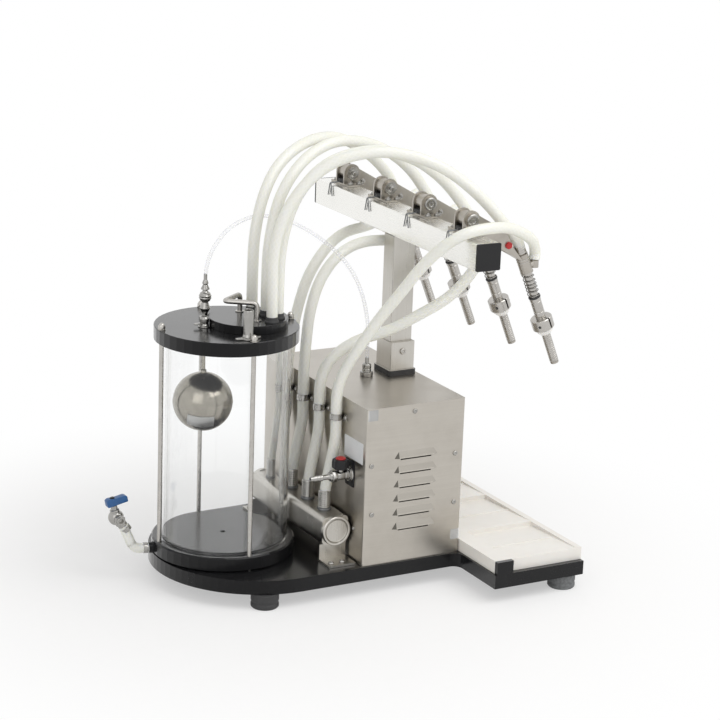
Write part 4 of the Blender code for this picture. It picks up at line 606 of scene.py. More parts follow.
def makeJar():
    # one smooth clear wall, so that it bends what is behind it evenly
    piece("jarWall", lathe(jar["wall"], jar["sides"], 0, at(0, 0, 0)), clearAcrylic,
          stands=["jar_glass"])
    for k in range(4):
        angle = math.radians(tieRod["turn"] + 90 * k)
        x, y = tieRod["circle"] * math.cos(angle), tieRod["circle"] * math.sin(angle)
        rod = cylinder(tieRod["radius"], lidTop - tieRod["low"], 24, 0, at(x, y, tieRod["low"]))
        washer = cylinder(*tieRod["washer"], 32, 0.0003, at(x, y, lidTop))
        nut = hexNut(*tieRod["nut"], at(x, y, lidTop + tieRod["washer"][1]))
        size = tieRod["dome"]
        dome = [(0, tieRod["domeAt"] + size)]
        for s in range(1, 7):
            rise = math.radians(90 - 15 * s)
            dome.append((size * math.cos(rise), tieRod["domeAt"] + size * math.sin(rise)))
        dome += [(size, tieRod["domeLow"]), (0, tieRod["domeLow"])]
        mesh = gathered(rod, washer, nut, lathe(dome, 28, 0, at(x, y, lidTop)))
        piece(f"tieRod{k + 1}", mesh, turned, stands=[f"tie_rod_{k + 1}"])
    piece("lowerSeal", lathe(jar["seal"], 96, 0, at(0, 0, 0)), rubber)


def makeHandle():
    x, y, half = handle["x"], handle["y"], handle["half"]
    low, high = handle["low"], handle["high"]
    corners = (spot(x - half, y, low), spot(x - half, y, high), spot(x, y + handle["reach"], high),
               spot(x + half, y, high), spot(x + half, y, low))
    feet = [cylinder(*handle["foot"], 32, 0.0004, at(x + side * half, y, handle["footLow"]))
            for side in (-1, 1)]
    mesh = gathered(sweep(filletRoute(corners, handle["corner"], 8), handle["rod"], 24), *feet)
    piece("liftHandle", mesh, turned, stands=["hatch_handle"])
    bushes = [lathe(bush["profile"], 32, 0.0005, at(x, y, bush["low"])) for x, y in bush["places"]]
    piece("hoseBushes", gathered(*bushes), rubber)


ball = {
    "centre": spot(-0.002, 0.035, 0.262), "radius": 0.041, "neck": 0.0042, "seam": 0.00035, "seamAngle": 2.5,
    "stem": ((0.0042, 0.040795), (0.0042, 0.045), (0.0025, 0.0458), (0.0025, 0.0967), (0.0036, 0.0967),
             (0.0036, 0.1010), (0, 0.1010)),
    "tagWide": 0.040, "tagTall": 0.020, "tagTurn": -6, "tagLayers": (0.0003, 0.0008),
    "tagRight": -0.0010, "tagUp": -0.0285, "tagAhead": 0.0290,
}


def makeFloat():
    r = ball["radius"]
    profile = [(0, -r)]
    for s in range(1, 40):
        angle = -math.pi / 2 + math.pi * s / 40
        seam = ball["seam"] if abs(math.degrees(angle)) < ball["seamAngle"] else 0
        if r * math.cos(angle) >= ball["neck"] or angle < 0:
            profile.append((r * math.cos(angle) + seam, r * math.sin(angle)))
    mesh = lathe([*profile, *ball["stem"]], 72, 0, Matrix.Translation(ball["centre"]))
    piece("floatBall", mesh, floatSteel, "float", ["float_ball"])


def makeTag():
    # a bare curved tag on the side of the ball that the photograph shows
    back = -Vector(view["ahead"])
    right = Vector(view["up"]).cross(back).normalized()
    middle = right * ball["tagRight"] + Vector(view["up"]) * ball["tagUp"] + back * ball["tagAhead"]
    middle.normalize()
    across = (right - middle * right.dot(middle)).normalized()
    across = Matrix.Rotation(math.radians(ball["tagTurn"]), 3, middle) @ across
    rise = middle.cross(across)
    wide, tall = 12, 6
    bm = bmesh.new()
    layers = []
    for layer in ball["tagLayers"]:
        rows = []
        for j in range(tall + 1):
            row = []
            for i in range(wide + 1):
                aim = middle * ball["radius"] + across * (ball["tagWide"] * (i / wide - 0.5))
                aim += rise * (ball["tagTall"] * (j / tall - 0.5))
                row.append(bm.verts.new(ball["centre"] + aim.normalized() * (ball["radius"] + layer)))
            rows.append(row)
        layers.append(rows)
    for rows in layers:
        for a, b in zip(rows, rows[1:]):
            for i in range(wide):
                bm.faces.new((a[i], a[i + 1], b[i + 1], b[i]))
    rim = [(0, i) for i in range(wide + 1)] + [(j, wide) for j in range(1, tall + 1)]
    rim += [(tall, i) for i in range(wide - 1, -1, -1)] + [(j, 0) for j in range(tall - 1, 0, -1)]
    low, high = layers
    for (a, b), (c, d) in zip(rim, rim[1:] + rim[:1]):
        bm.faces.new((low[a][b], low[c][d], high[c][d], high[a][b]))
    piece("floatTag", meshOf(bm), blankFoil, "float")


# fittings on the jar's lid; heights run from the lid's top

guide = {
    "x": -0.002, "y": 0.035, "washer": box(0.0030, 0.0085, 0, 0.0012), "wingLow": 0.004, "wingHigh": 0.0055,
    "head": ((0.0028, -0.0373), (0.0056, -0.0373), (0.0056, 0), (0.0065, 0), (0.0065, 0.003), (0.0056, 0.004),
             (0.0056, 0.006), (0.0064, 0.007), (0.0064, 0.012), (0.0050, 0.0145), (0, 0.0145), (0, 0.0112),
             (0.0028, 0.0112)),
    "wing": ((-0.0045, 0.0040), (0.0045, 0.0040), (0.0038, 0.0125), (0.0018, 0.0155), (-0.0018, 0.0155),
             (-0.0038, 0.0125)),
}
suction = {
    "x": 0.037, "y": 0.016, "nut": (0.0085, 0.0032), "globe": 0.0086, "globeAt": 0.031, "wave": 0.0004,
    "below": ((0.0012, -0.0223), (0.005, -0.0223), (0.005, 0), (0.0075, 0), (0.0075, 0.003), (0.0044, 0.0036),
              (0.0040, 0.0085), (0.0050, 0.0100), (0.0074, 0.0150)),
    "above": ((0.0036, 0.0400), (0.0036, 0.0410), (0.0062, 0.0418), (0.0058, 0.0432), (0.0034, 0.0480),
              (0.0034, 0.0490), (0.0046, 0.0500), (0.0030, 0.0545), (0.0025, 0.0550), (0.0025, 0.0630),
              (0.0012, 0.0630)),
}
vent = {
    "x": -0.081, "y": 0.007, "wingHalf": 0.0186, "wingHigh": 0.0032, "waist": 0.0046, "swell": 0.0020,
    "profile": ((0.0020, -0.0223), (0.0034, -0.0223), (0.0034, 0), (0.0080, 0.0005), (0.0080, 0.0040),
                (0.0074, 0.0060), (0.0070, 0.0072), (0.0070, 0.0390), (0.0067, 0.0402), (0.0061, 0.0407),
                (0.0057, 0.0400), (0.0057, 0.0080), (0.0020, 0.0080)),
    "foot": ((0.0070, 0), (0.0100, 0), (0.0100, 0.0020), (0.0070, 0.0028)),
}


def makeLidFittings():
    place = at(guide["x"], guide["y"], lidTop)
    wing = slab(rounded(guide["wing"], 0.0015), guide["wingLow"], guide["wingHigh"], edge=0.0004, place=place)
    mesh = gathered(lathe(guide["head"], 32, 0.0005, place), lathe(guide["washer"], 40, 0.0003, place), wing)
    piece("floatGuide", mesh, nickel, stands=["float_guide"])

    place = at(suction["x"], suction["y"], lidTop)
    globe = []
    for s in range(11):
        angle = math.radians(-62 + 124 * s / 10)
        wave = suction["wave"] * (-1) ** s
        globe.append((suction["globe"] * math.cos(angle) + wave,
                      suction["globeAt"] + suction["globe"] * math.sin(angle)))
    stack = lathe([*suction["below"], *globe, *suction["above"]], 40, 0.0003, place)
    mesh = gathered(stack, hexNut(*suction["nut"], place))
    piece("suctionFitting", mesh, nickel, stands=["vacuum_fitting"])

    place = at(vent["x"], vent["y"], lidTop)
    outline = []
    for k in range(48):
        angle = math.tau * k / 48
        wide = (vent["waist"] + vent["swell"] * abs(math.sin(angle)) ** 8) * 1.15
        outline.append((wide * math.cos(angle), vent["wingHalf"] * math.sin(angle)))
    wings = slab(outline, 0, vent["wingHigh"], edge=0.0006, place=place)
    mesh = gathered(lathe(vent["profile"], 48, 0.0003, place), wings, lathe(vent["foot"], 40, 0.0005, place))
    piece("ventPipe", mesh, nickel, stands=["vent_tube"])


makeJar()
makeHandle()
makeFloat()
makeTag()
makeLidFittings()
print("jar and its fittings made")


# pump housing and what is on it

housing = {
    "nearX": -0.1474, "rearY": -0.1433, "screw": (0.0036, 0.0018), "rearScrew": (0.0030, 0.0015),
    "screws": ((-0.2176, 0.2595), (-0.2854, 0.190), (-0.287, 0.118), (-0.1524, 0.1877), (-0.1554, 0.117)),
    "rearScrewAt": (-0.120, 0.090), "card": box(-0.139, -0.086, 0.188, 0.218), "cardThick": 0.0004,
    "backing": box(-0.117, -0.092, 0.148, 0.186), "backingThick": 0.0012, "tapeThick": 0.00015,
    "tapes": ((-0.1600, -0.1445, 0.2525, 0.2680), (-0.2980, -0.2840, 0.0620, 0.0770)),
}
louvre = {"count": 6, "low": 0.0908, "pitch": 0.0206, "height": 0.0095, "middle": -0.2225, "half": 0.0277,
          "deep": 0.0030, "slope": 0.0065}
elbow = {
    "x": 0, "y": -0.222, "z": 0.2696, "nut": (0.0093, 0.006),
    "profile": ((0.0012, -0.008), (0.004, -0.008), (0.004, 0), (0.0092, 0), (0.0092, 0.006), (0.0064, 0.0066),
                (0.0064, 0.0100), (0.0058, 0.0106), (0.0064, 0.0112), (0.0064, 0.0165), (0.0050, 0.0180),
                (0.0028, 0.0184), (0.0028, 0.0265), (0.0012, 0.0265)),
}


def makeHousing():
    dress(sheetSteel, "pump_housing")
    dress(castMetal, "vacuum_pump")
    x, y = housing["nearX"], housing["rearY"]
    heads = [screwHead(*housing["screw"], turnTo((-1, 0, 0), spot(x, *place))) for place in housing["screws"]]
    rearX, rearZ = housing["rearScrewAt"]
    heads.append(screwHead(*housing["rearScrew"], turnTo((0, 1, 0), spot(rearX, y, rearZ))))
    piece("panelScrews", gathered(*heads), nickel)

    # pressed hoods, painted a shade darker than the housing's sheet steel, with a much darker painted shade
    # on their rear sloped ends and undersides
    bm = bmesh.new()
    front, rear = louvre["middle"] - louvre["half"], louvre["middle"] + louvre["half"]
    deep, slope = x - louvre["deep"], louvre["slope"]
    for k in range(louvre["count"]):
        low = louvre["low"] + louvre["pitch"] * k
        high = low + louvre["height"]
        corners = ((x, front, high), (x, rear, high), (deep, front, low), (deep, rear, low),
                   (x, front - slope, low), (x, rear + slope, low))
        a, b, c, d, e, f = [bm.verts.new(spot(*corner)) for corner in corners]
        for corners, shade in (((a, b, d, c), 0), ((b, f, d), 1), ((a, c, e), 0), ((e, c, d, f), 1),
                               ((a, e, f, b), 0)):
            bm.faces.new(corners).material_index = shade
    piece("louvreHoods", meshOf(bm), hoodSteelPaintedShade).data.materials.append(hoodEndPaintedShade)

    # bare card, black backing and clear tapes
    place = at(0, y, 0)
    card = slab(rounded(housing["card"], 0.0015), 0, housing["cardThick"], "Y", place=place)
    piece("blankPlate", card, blankCard)
    plate = slab(rounded(housing["backing"], 0.002), 0, housing["backingThick"], "Y", 0.0003, place=place)
    piece("valvePlate", plate, moulding)
    for k, (y0, y1, z0, z1) in enumerate(housing["tapes"]):
        strip = block(spot(x - housing["tapeThick"], y0, z0), spot(x, y1, z1))
        piece(f"tapeStrip{k + 1}", strip, clearTape)

    place = at(elbow["x"], elbow["y"], elbow["z"])
    mesh = gathered(lathe(elbow["profile"], 36, 0.0003, place), hexNut(*elbow["nut"], place))
    piece("suctionElbow", mesh, nickel, stands=["vacuum_elbow"])


valve = {
    "x": -0.106, "z": 0.1655, "face": -0.1430, "nut": (0.0088, 0.0075), "nutAt": 0.0235, "boss": 0.0045,
    "profile": ((0.002, -0.010), (0.0047, -0.010), (0.0047, 0), (0.0105, 0), (0.0105, 0.0018),
                (0.0096, 0.0026), (0.0096, 0.0048), (0.0070, 0.0054), (0.0070, 0.0100), (0.0062, 0.0106),
                (0.0062, 0.0118),
                (0.0070, 0.0124), (0.0070, 0.0225), (0.0060, 0.0235), (0.0060, 0.0290), (0.0066, 0.0298),
                (0.0066, 0.0330), (0.0044, 0.0345), (0.0036, 0.0360), (0.0036, 0.0440), (0.0046, 0.0445),
                (0.0034, 0.0485), (0.0045, 0.0490), (0.0034, 0.0530), (0.0045, 0.0535), (0.0032, 0.0590),
                (0.0030, 0.0628), (0.0020, 0.0628)),
    "bossLow": 0.1685, "bossHigh": 0.1750,
}
knob = {
    "y": -0.1267, "low": 0.1753, "radius": 0.012, "lobes": 6, "grip": 0.10,
    "levels": ((0, 0.80), (0.0012, 0.96), (0.0035, 1.0), (0.0105, 1.0), (0.0130, 0.95), (0.0140, 0.84)),
    "cap": ((0, 0.1893), (0.0072, 0.1893), (0.0072, 0.1905), (0.0060, 0.1913), (0, 0.1913)),
    "indexLow": (0.0015, -0.0008, 0.1905), "indexHigh": (0.0068, 0.0008, 0.1912),
}


def makeValve():
    x = valve["x"]
    ahead = turnTo((0, 1, 0), spot(x, valve["face"], valve["z"]))
    boss = cylinder(valve["boss"], valve["bossHigh"] - valve["bossLow"], 24, 0.0003,
                    at(x, knob["y"], valve["bossLow"]))
    nut = hexNut(*valve["nut"], ahead @ Matrix.Translation((0, 0, valve["nutAt"])))
    mesh = gathered(lathe(valve["profile"], 40, 0.0003, ahead), nut, boss)
    piece("needleValve", mesh, nickel, stands=["vacuum_valve"])

    # a lobed knob with a red cap
    rows = []
    for level, share in knob["levels"]:
        row = []
        for k in range(72):
            angle = math.tau * k / 72
            dip = (0.5 - 0.5 * math.cos(knob["lobes"] * angle)) ** 2
            size = knob["radius"] * share * (1 - knob["grip"] * dip)
            row.append((size * math.cos(angle), size * math.sin(angle), knob["low"] + level))
        rows.append(row)
    place = at(x, knob["y"], 0)
    piece("needleKnob", meshOf(skin(rows), place), moulding, "knob", ["valve_knob"])
    index = block(knob["indexLow"], knob["indexHigh"], 0.0002)
    index.transform(place)
    cap = gathered(lathe(knob["cap"], 40, 0.0004, place), index)
    piece("knobCap", cap, redPlastic, "knob")


makeHousing()
makeValve()
print("housing and valve made")


# manifold

manifold = {
    "y": -0.120, "z": 0.087, "half": 0.020, "corner": 0.008, "end": 0.115, "bodyEnd": 0.109,
    "ring": ((0, 0.0022), (0.0010, 0.0019), (0.0158, 0.0022), (0.0164, 0.0008), (0.0170, 0.0024),
             (0.0178, 0.0004), (0.0205, 0), (0.0215, 0.0012), (0.0215, 0.0080), (0, 0.0080)),
    "collar": ((0.0040, 0), (0.0098, 0), (0.0098, 0.0026), (0.0086, 0.0038), (0.0040, 0.0038)),
    "ribs": 8, "ribPitch": 0.0030, "ribLow": 0.0040, "rib": ((0.0088, 0), (0.0088, 0.0012), (0.0081, 0.0022)),
    "tail": 0.0078, "tailLow": 0.0030, "tailHigh": 0.0290,
    "screw": (0.0042, 0.0026), "screwX": 0.1255, "screwY": (-0.1065, -0.1235), "screwZ": 0.0453,
}


def makeManifold():
    y, z, half, end = manifold["y"], manifold["z"], manifold["half"], manifold["bodyEnd"]
    outline = rounded(box(-half, half, -half, half), manifold["corner"], 7)
    parts = [slab(outline, -end, end, "X", place=at(0, y, z))]
    for side in (-1, 1):
        place = turnTo((-side, 0, 0), spot(side * manifold["end"], y, z))
        parts.append(lathe(manifold["ring"], 72, 0.0004, place))
    piece("manifoldBody", gathered(*parts), sectionSteel, stands=["manifold"])

    # ribbed hose tails over the four outlets, on dark base rings
    profile = [(manifold["tail"], manifold["tailLow"])]
    for s in range(manifold["ribs"]):
        low = manifold["ribLow"] + s * manifold["ribPitch"]
        profile += [(r, low + height) for r, height in manifold["rib"]]
    profile.append((manifold["tail"], manifold["tailHigh"]))
    places = [at(x, y, z + half) for x in outletX]
    piece("hoseTails", gathered(*[lathe(profile, 40, 0.0002, place) for place in places]), nickel)
    collars = [lathe(manifold["collar"], 40, 0.0004, place) for place in places]
    piece("tailCollars", gathered(*collars), castMetal)

    dress(sectionSteel, "manifold_bracket_1", "manifold_bracket_2")
    heads = []
    for side in (-1, 1):
        for sy in manifold["screwY"]:
            heads.append(screwHead(*manifold["screw"], at(side * manifold["screwX"], sy, manifold["screwZ"])))
    piece("bracketScrews", gathered(*heads), nickel)


makeManifold()
print("manifold made")


# column and beam

column = {
    "x": 0.005, "y": -0.271, "outer": (0.0234, 0.0216), "inner": (0.0230, 0.0212), "corner": 0.003,
    "low": 0.2694, "high": 0.2772, "bolt": (0.0048, 0.0026), "boltX": 0.0210, "boltZ": 0.3045,
}


def makeColumn():
    dress(sectionSteel, "column", "column_socket")
    dress(beamSteel, "head_beam")
    x, y, low, high = column["x"], column["y"], column["low"], column["high"]
    # a thin dark sleeve, open at top and bottom, round the foot of the column's socket
    outer, inner = [rounded(box(-u, u, -v, v), column["corner"])
                    for u, v in (column["outer"], column["inner"])]
    rows = [[spot(x + u, y + v, z) for u, v in line]
            for line, z in ((outer, low), (outer, high), (inner, high), (inner, low))]
    piece("columnFootBand", meshOf(skin(rows, ends=False, loop=True)), rubber)
    bolts = []
    for side in (-1, 1):
        place = turnTo((side, 0, 0), spot(x + side * column["boltX"], y, column["boltZ"]))
        bolts.append(screwHead(*column["bolt"], place))
    piece("socketBolts", gathered(*bolts), turned)


makeColumn()
print("column and beam dressed")


# filling stations; lengths run down the nozzle's own axis from the head

head = {
    "y": -0.372, "z": 0.466, "tilt": 22.3, "rings": (-0.0020, -0.0060, -0.0235),
    "ring": ((0.0088, -0.0008), (0.0093, -0.0006), (0.0093, 0.0006), (0.0088, 0.0008)),
    "barb": ((0.0076, 0.0066), (0.0083, 0.0070), (0.0079, 0.0094), (0.0083, 0.0098), (0.0079, 0.0122),
             (0.0083, 0.0126), (0.0079, 0.0150), (0.0083, 0.0154), (0.0079, 0.0178), (0.0076, 0.0184)),
}
nozzle = {
    "sleeve": ((0.0054, -0.021), (0.0062, -0.021), (0.0062, -0.0640), (0.0080, -0.0647), (0.0080, -0.0690),
               (0.0071, -0.0694), (0.0071, -0.0702), (0.0076, -0.0706), (0.0076, -0.0850), (0.0072, -0.0856),
               (0.0072, -0.0862), (0.0076, -0.0868), (0.0076, -0.0930), (0.0068, -0.0940), (0.0068, -0.1150),
               (0.0068, -0.1220), (0.0063, -0.1224)),
    "ribs": 14, "ribTop": -0.1236, "ribPitch": 0.0030,
    "rib": ((0.0063, 0), (0.0063, -0.0017), (0.00585, -0.0019), (0.00585, -0.0024), (0.0063, -0.0026)),
    "tip": ((0.0063, -0.1655), (0.0060, -0.1667), (0.0054, -0.1667)),
    "cone": ((0.0069, -0.1132), (0.0128, -0.1132), (0.0130, -0.1145), (0.0105, -0.1190), (0.0078, -0.1222),
             (0.0069, -0.1222)),
    "seal": ((0.0062, -0.0646), (0.0084, -0.0646), (0.0088, -0.0634), (0.0084, -0.0622), (0.0062, -0.0622)),
}
collar = {
    "levels": ((-0.0965, 0.0145), (-0.0975, 0.0155), (-0.1120, 0.0155), (-0.1130, 0.0147),
               (-0.1130, 0.0069), (-0.0965, 0.0069)),
    "gap": 5, "turn": 195, "count": 44, "holeShades": (-62, 62), "hole": (0.0021, 0.0006), "holeAt": 0.01495,
    "holeZ": -0.1047,
}
spring = {"wire": 0.00075, "radius": 0.0080, "turns": 6, "high": -0.0258, "low": -0.0639, "ease": 0.035}
axis = Vector((0, math.sin(math.radians(head["tilt"])), math.cos(math.radians(head["tilt"]))))


def splitCollar(place):
    # a clamp ring that is open at its split
    gap = math.radians(collar["gap"])
    count = collar["count"]
    bm = bmesh.new()
    rows = []
    for z, r in collar["levels"]:
        angles = [gap + (math.tau - 2 * gap) * k / count for k in range(count + 1)]
        rows.append([bm.verts.new((r * math.cos(a), r * math.sin(a), z)) for a in angles])
    for a, b in zip(rows, rows[1:] + rows[:1]):
        for k in range(count):
            bm.faces.new((a[k], a[k + 1], b[k + 1], b[k]))
    bm.faces.new([row[0] for row in rows])
    bm.faces.new([row[-1] for row in reversed(rows)])
    return meshOf(bm, place)


def makeNozzle(k, place):
    body = f"nozzle_{k}"
    ribs = []
    for n in range(nozzle["ribs"]):
        ribs += [(r, nozzle["ribTop"] - nozzle["ribPitch"] * n + drop) for r, drop in nozzle["rib"]]
    tube = lathe([*nozzle["sleeve"], *ribs, *nozzle["tip"]], 40, 0.0002, place)
    piece(f"nozzleTube{k}", tube, turned, body, [body])
    turn = place @ Matrix.Rotation(math.radians(collar["turn"]), 4, "Z")
    piece(f"clampCollar{k}", splitCollar(turn), turned, body)
    # painted shade: thin dark discs on the collar stand for the shade inside its holes
    holeShades = []
    for angle in collar["holeShades"]:
        way = Vector((math.cos(math.radians(angle)), math.sin(math.radians(angle)), 0))
        start = way * collar["holeAt"] + Vector((0, 0, collar["holeZ"]))
        holeShades.append(cylinder(*collar["hole"], 24, 0, turn @ turnTo(way, start)))
    piece(f"collarHoleShades{k}", gathered(*holeShades), rubber, body)
    piece(f"sealCone{k}", lathe(nozzle["cone"], 40, 0.0005, place), conePlastic, body)
    piece(f"shoulderRing{k}", lathe(nozzle["seal"], 36, 0.0005, place), rubber, body)


def makeSpring(k, place):
    # squeezed between the head and the nozzle's shoulder, and closer wound at its ends
    high, low = spring["high"], spring["low"]
    points = []
    steps = spring["turns"] * 20
    for n in range(steps + 1):
        angle = math.tau * n / 20
        share = n / steps
        share += spring["ease"] * math.sin(math.tau * share)
        points.append(place @ Vector((spring["radius"] * math.cos(angle), spring["radius"] * math.sin(angle),
                                      high + (low - high) * share)))
    coil = piece(f"returnSpring{k}", sweep(points, spring["wire"], 8), springWire, None,
                 stands=[f"spring_{k}"])
    place @ Vector((0, 0, high))
    place @ Vector((0, 0, low))
    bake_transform(coil)


def makeHead(k, place):
    dress(plateSteel, f"clevis_{k}", f"lever_head_{k}")
    rings = [lathe([(r, z + height) for r, height in head["ring"]], 36, 0, place) for z in head["rings"]]
    piece(f"headRings{k}", gathered(*rings), turned, f"head_{k}")
    piece(f"topBarb{k}", lathe(head["barb"], 32, 0, place), turned, f"head_{k}")


clevis = {
    "y": -0.280, "z": 0.527, "nut": (0.0062, 0.0046), "nutX": 0.0128, "washer": (0.0092, 0.0012),
    "washerX": 0.0160, "boltX": 0.0130, "button": (0.0092, 0.0022), "nutted": 2,
    "bolt": ((0, 0), (0.0033, 0), (0.0033, 0.0078), (0.0026, 0.0086), (0, 0.0086)),
    "flangeX": 0.0212, "flangeY": (-0.0075, 0.0065), "flangeZ": 0.5113, "flangeNut": (0.0040, 0.0030),
    "flangeWasher": (0.0049, 0.0008), "flangeStud": ((0, 0), (0.0020, 0), (0.0016, 0.0050), (0, 0.0050)),
    "gapShadeHalf": 0.0091, "gapShadeY": (0.0040, 0.0125), "gapShadeZ": (0.5116, 0.5165),
    "forkTop": (0.0008, 0.012, 0.5128), "forkEdge": (0.0012, 0.0288, 0.5118),
    "forkEnd": (0.0062, 0.0288, 0.4930), "forkWire": 0.0008, "forkCorner": 0.0016,
    "sideX": 0.0092, "sideNut": (0.0033, 0.0026), "sideWasher": (0.0042, 0.0007),
    "sideY": -0.0200, "sideZ": 0.5130,
    "hole": (0.0013, 0.0005), "holeX": 0.0088, "holeY": -0.0118, "holeZ": 0.5195,
}


def makeClevis(k, x):
    y, z = clevis["y"], clevis["z"]
    metal, forks, sides, holeShades = [], [], [], []
    for side in (-1, 1):
        def outward(depth, *place):
            return turnTo((side, 0, 0), spot(x + side * depth, *place))

        if k <= clevis["nutted"]:
            metal += [hexNut(*clevis["nut"], outward(clevis["nutX"], y, z)),
                      cylinder(*clevis["washer"], 36, 0.0003, outward(clevis["washerX"], y, z)),
                      lathe(clevis["bolt"], 24, 0.0003, outward(clevis["boltX"], y, z))]
        else:
            metal.append(screwHead(*clevis["button"], outward(clevis["washerX"], y, z), 40))
        for depth in clevis["flangeY"]:
            seat = at(x + side * clevis["flangeX"], y + depth, clevis["flangeZ"])
            metal += [hexNut(*clevis["flangeNut"], seat), cylinder(*clevis["flangeWasher"], 28, 0.0002, seat),
                      lathe(clevis["flangeStud"], 18, 0.0003, seat)]
        corners = []
        for key in ("forkTop", "forkEdge", "forkEnd"):
            across, behind, height = clevis[key]
            corners.append(spot(x + side * across, y + behind, height))
        forks.append(sweep(filletRoute(corners, clevis["forkCorner"], 5), clevis["forkWire"], 10))
        place = outward(clevis["sideX"], y + clevis["sideY"], clevis["sideZ"])
        sides += [hexNut(*clevis["sideNut"], place), cylinder(*clevis["sideWasher"], 28, 0.0002, place)]
        # painted shade: thin dark discs on the lever stand for the shade inside its holes
        place = outward(clevis["holeX"], y + clevis["holeY"], clevis["holeZ"])
        holeShades.append(cylinder(*clevis["hole"], 18, 0, place))
    piece(f"clevisBolts{k}", gathered(*metal), nickel)
    # painted shade: a dark block fills the shaded gap below the lever's hub, between the clevis ears
    low, high = [spot(x + side * clevis["gapShadeHalf"], y + clevis["gapShadeY"][n], clevis["gapShadeZ"][n])
                 for n, side in enumerate((-1, 1))]
    piece(f"gapShadeBlock{k}", block(low, high, 0.0006), rubber)
    piece(f"forkClip{k}", gathered(*forks), castMetal)
    piece(f"leverScrews{k}", gathered(*sides), nickel, f"head_{k}")
    piece(f"leverHoleShades{k}", gathered(*holeShades), rubber, f"head_{k}")


plug = {"x": -0.1661, "y": -0.3430, "z": 0.4865,
        "profile": ((0, 0), (0.0050, 0), (0.0050, 0.0022), (0.0040, 0.0034), (0, 0.0036))}

for number, x in enumerate(stationX, 1):
    headPlace = turnTo(axis, spot(x, head["y"], head["z"]))
    makeNozzle(number, headPlace)
    makeSpring(number, headPlace)
    makeHead(number, headPlace)
    makeClevis(number, x)
plugMesh = lathe(plug["profile"], 36, 0.0006, turnTo((-1, 0, 0), spot(plug["x"], plug["y"], plug["z"])))
piece("redPlug", plugMesh, redPlastic, "head_4")
print("filling stations made")


# hoses

hose = {
    "radius": 0.00775, "sides": 24, "step": 0.004, "rounds": 14, "foot": 0.1133,
    "clip": ((-0.120, 0.130), (-0.1257, 0.164), (-0.1342, 0.207), (-0.1342, 0.241), (-0.1342, 0.275)),
    "port": (-0.3925, 0.46075), "portRise": 0.012, "hatch": (0.3853, 0.3960),
    "topGap": 0.0083, "topRise": 0.016,
    "supplySoft": ((-0.230, 0.500), (-0.374, 0.480)), "returnSoft": ((-0.190, 0.600), (-0.366, 0.490)),
}
thin = {
    "radius": 0.0027, "sides": 16, "rounds": 10,
    "route": ((0.037, 0.016, 0.4306), (0.0360, 0.0115, 0.455), (0.0330, -0.010, 0.488),
              (0.0287, -0.038, 0.505), (0.0241, -0.072, 0.508), (0.0166, -0.117, 0.492),
              (0.0097, -0.162, 0.461), (0.0050, -0.195, 0.424), (0.0020, -0.214, 0.382),
              (0.0003, -0.222, 0.340), (0, -0.222, 0.3133), (0, -0.222, 0.2964)),
}
supplyRoutes = (
    ((0.077, -0.139, 0.306), (0.085, -0.152, 0.350), (0.094, -0.172, 0.395), (0.110, -0.207, 0.430),
     (0.130, -0.250, 0.448), (0.146, -0.300, 0.452), (0.149, -0.345, 0.470), (0.156, -0.380, 0.490),
     (0.170, -0.398, 0.489)),
    ((0.025, -0.136, 0.312), (0.026, -0.142, 0.365), (0.029, -0.160, 0.412), (0.033, -0.192, 0.444),
     (0.038, -0.232, 0.456), (0.039, -0.280, 0.455), (0.037, -0.330, 0.464), (0.040, -0.372, 0.486),
     (0.056, -0.398, 0.490)),
    ((-0.030, -0.145, 0.308), (-0.045, -0.176, 0.336), (-0.064, -0.217, 0.352), (-0.074, -0.262, 0.374),
     (-0.079, -0.305, 0.396), (-0.078, -0.338, 0.424), (-0.076, -0.360, 0.452), (-0.072, -0.382, 0.478),
     (-0.058, -0.398, 0.488)),
    ((-0.081, -0.141, 0.306), (-0.098, -0.155, 0.345), (-0.116, -0.173, 0.386), (-0.138, -0.193, 0.427),
     (-0.163, -0.210, 0.468), (-0.187, -0.229, 0.500), (-0.204, -0.252, 0.519), (-0.205, -0.288, 0.523),
     (-0.196, -0.322, 0.519), (-0.184, -0.352, 0.507), (-0.170, -0.380, 0.491)),
)
returnRoutes = (
    ((0.009, -0.042, 0.430), (0.010, -0.044, 0.482), (0.017, -0.058, 0.533), (0.033, -0.087, 0.573),
     (0.058, -0.135, 0.596), (0.087, -0.190, 0.600), (0.112, -0.238, 0.588), (0.134, -0.283, 0.564),
     (0.152, -0.316, 0.541), (0.168, -0.343, 0.517)),
    ((-0.017, -0.051, 0.430), (-0.016, -0.054, 0.482), (-0.010, -0.072, 0.542), (0.003, -0.112, 0.586),
     (0.018, -0.165, 0.606), (0.034, -0.220, 0.601), (0.048, -0.270, 0.582), (0.058, -0.312, 0.553),
     (0.064, -0.340, 0.522)),
    ((-0.037, -0.059, 0.430), (-0.037, -0.062, 0.482), (-0.038, -0.079, 0.540), (-0.040, -0.113, 0.581),
     (-0.042, -0.155, 0.600), (-0.044, -0.207, 0.603), (-0.045, -0.260, 0.588), (-0.045, -0.305, 0.558),
     (-0.045, -0.338, 0.523)),
    ((-0.053, -0.042, 0.430), (-0.053, -0.043, 0.479), (-0.058, -0.056, 0.530), (-0.067, -0.086, 0.575),
     (-0.079, -0.124, 0.602), (-0.096, -0.176, 0.613), (-0.113, -0.229, 0.604), (-0.127, -0.272, 0.583),
     (-0.141, -0.312, 0.549), (-0.151, -0.341, 0.516)),
)


def makeHose(kind, k, route, hold):
    points = relaxed(smoothRoute(route, hose["step"]), hose["rounds"], hold)
    tube = piece(f"{kind}Hose{k}", sweep(points, hose["radius"], hose["sides"]), hoseWall, None,
                 [f"{kind}_hose_{k}"])
    start, end = [spot(stationX[k - 1], *place) for place in hose[f"{kind}Soft"]]
    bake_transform(tube)
    print(f"{kind} hose {k}: {sum((b - a).length for a, b in zip(points, points[1:])):.3f} m")


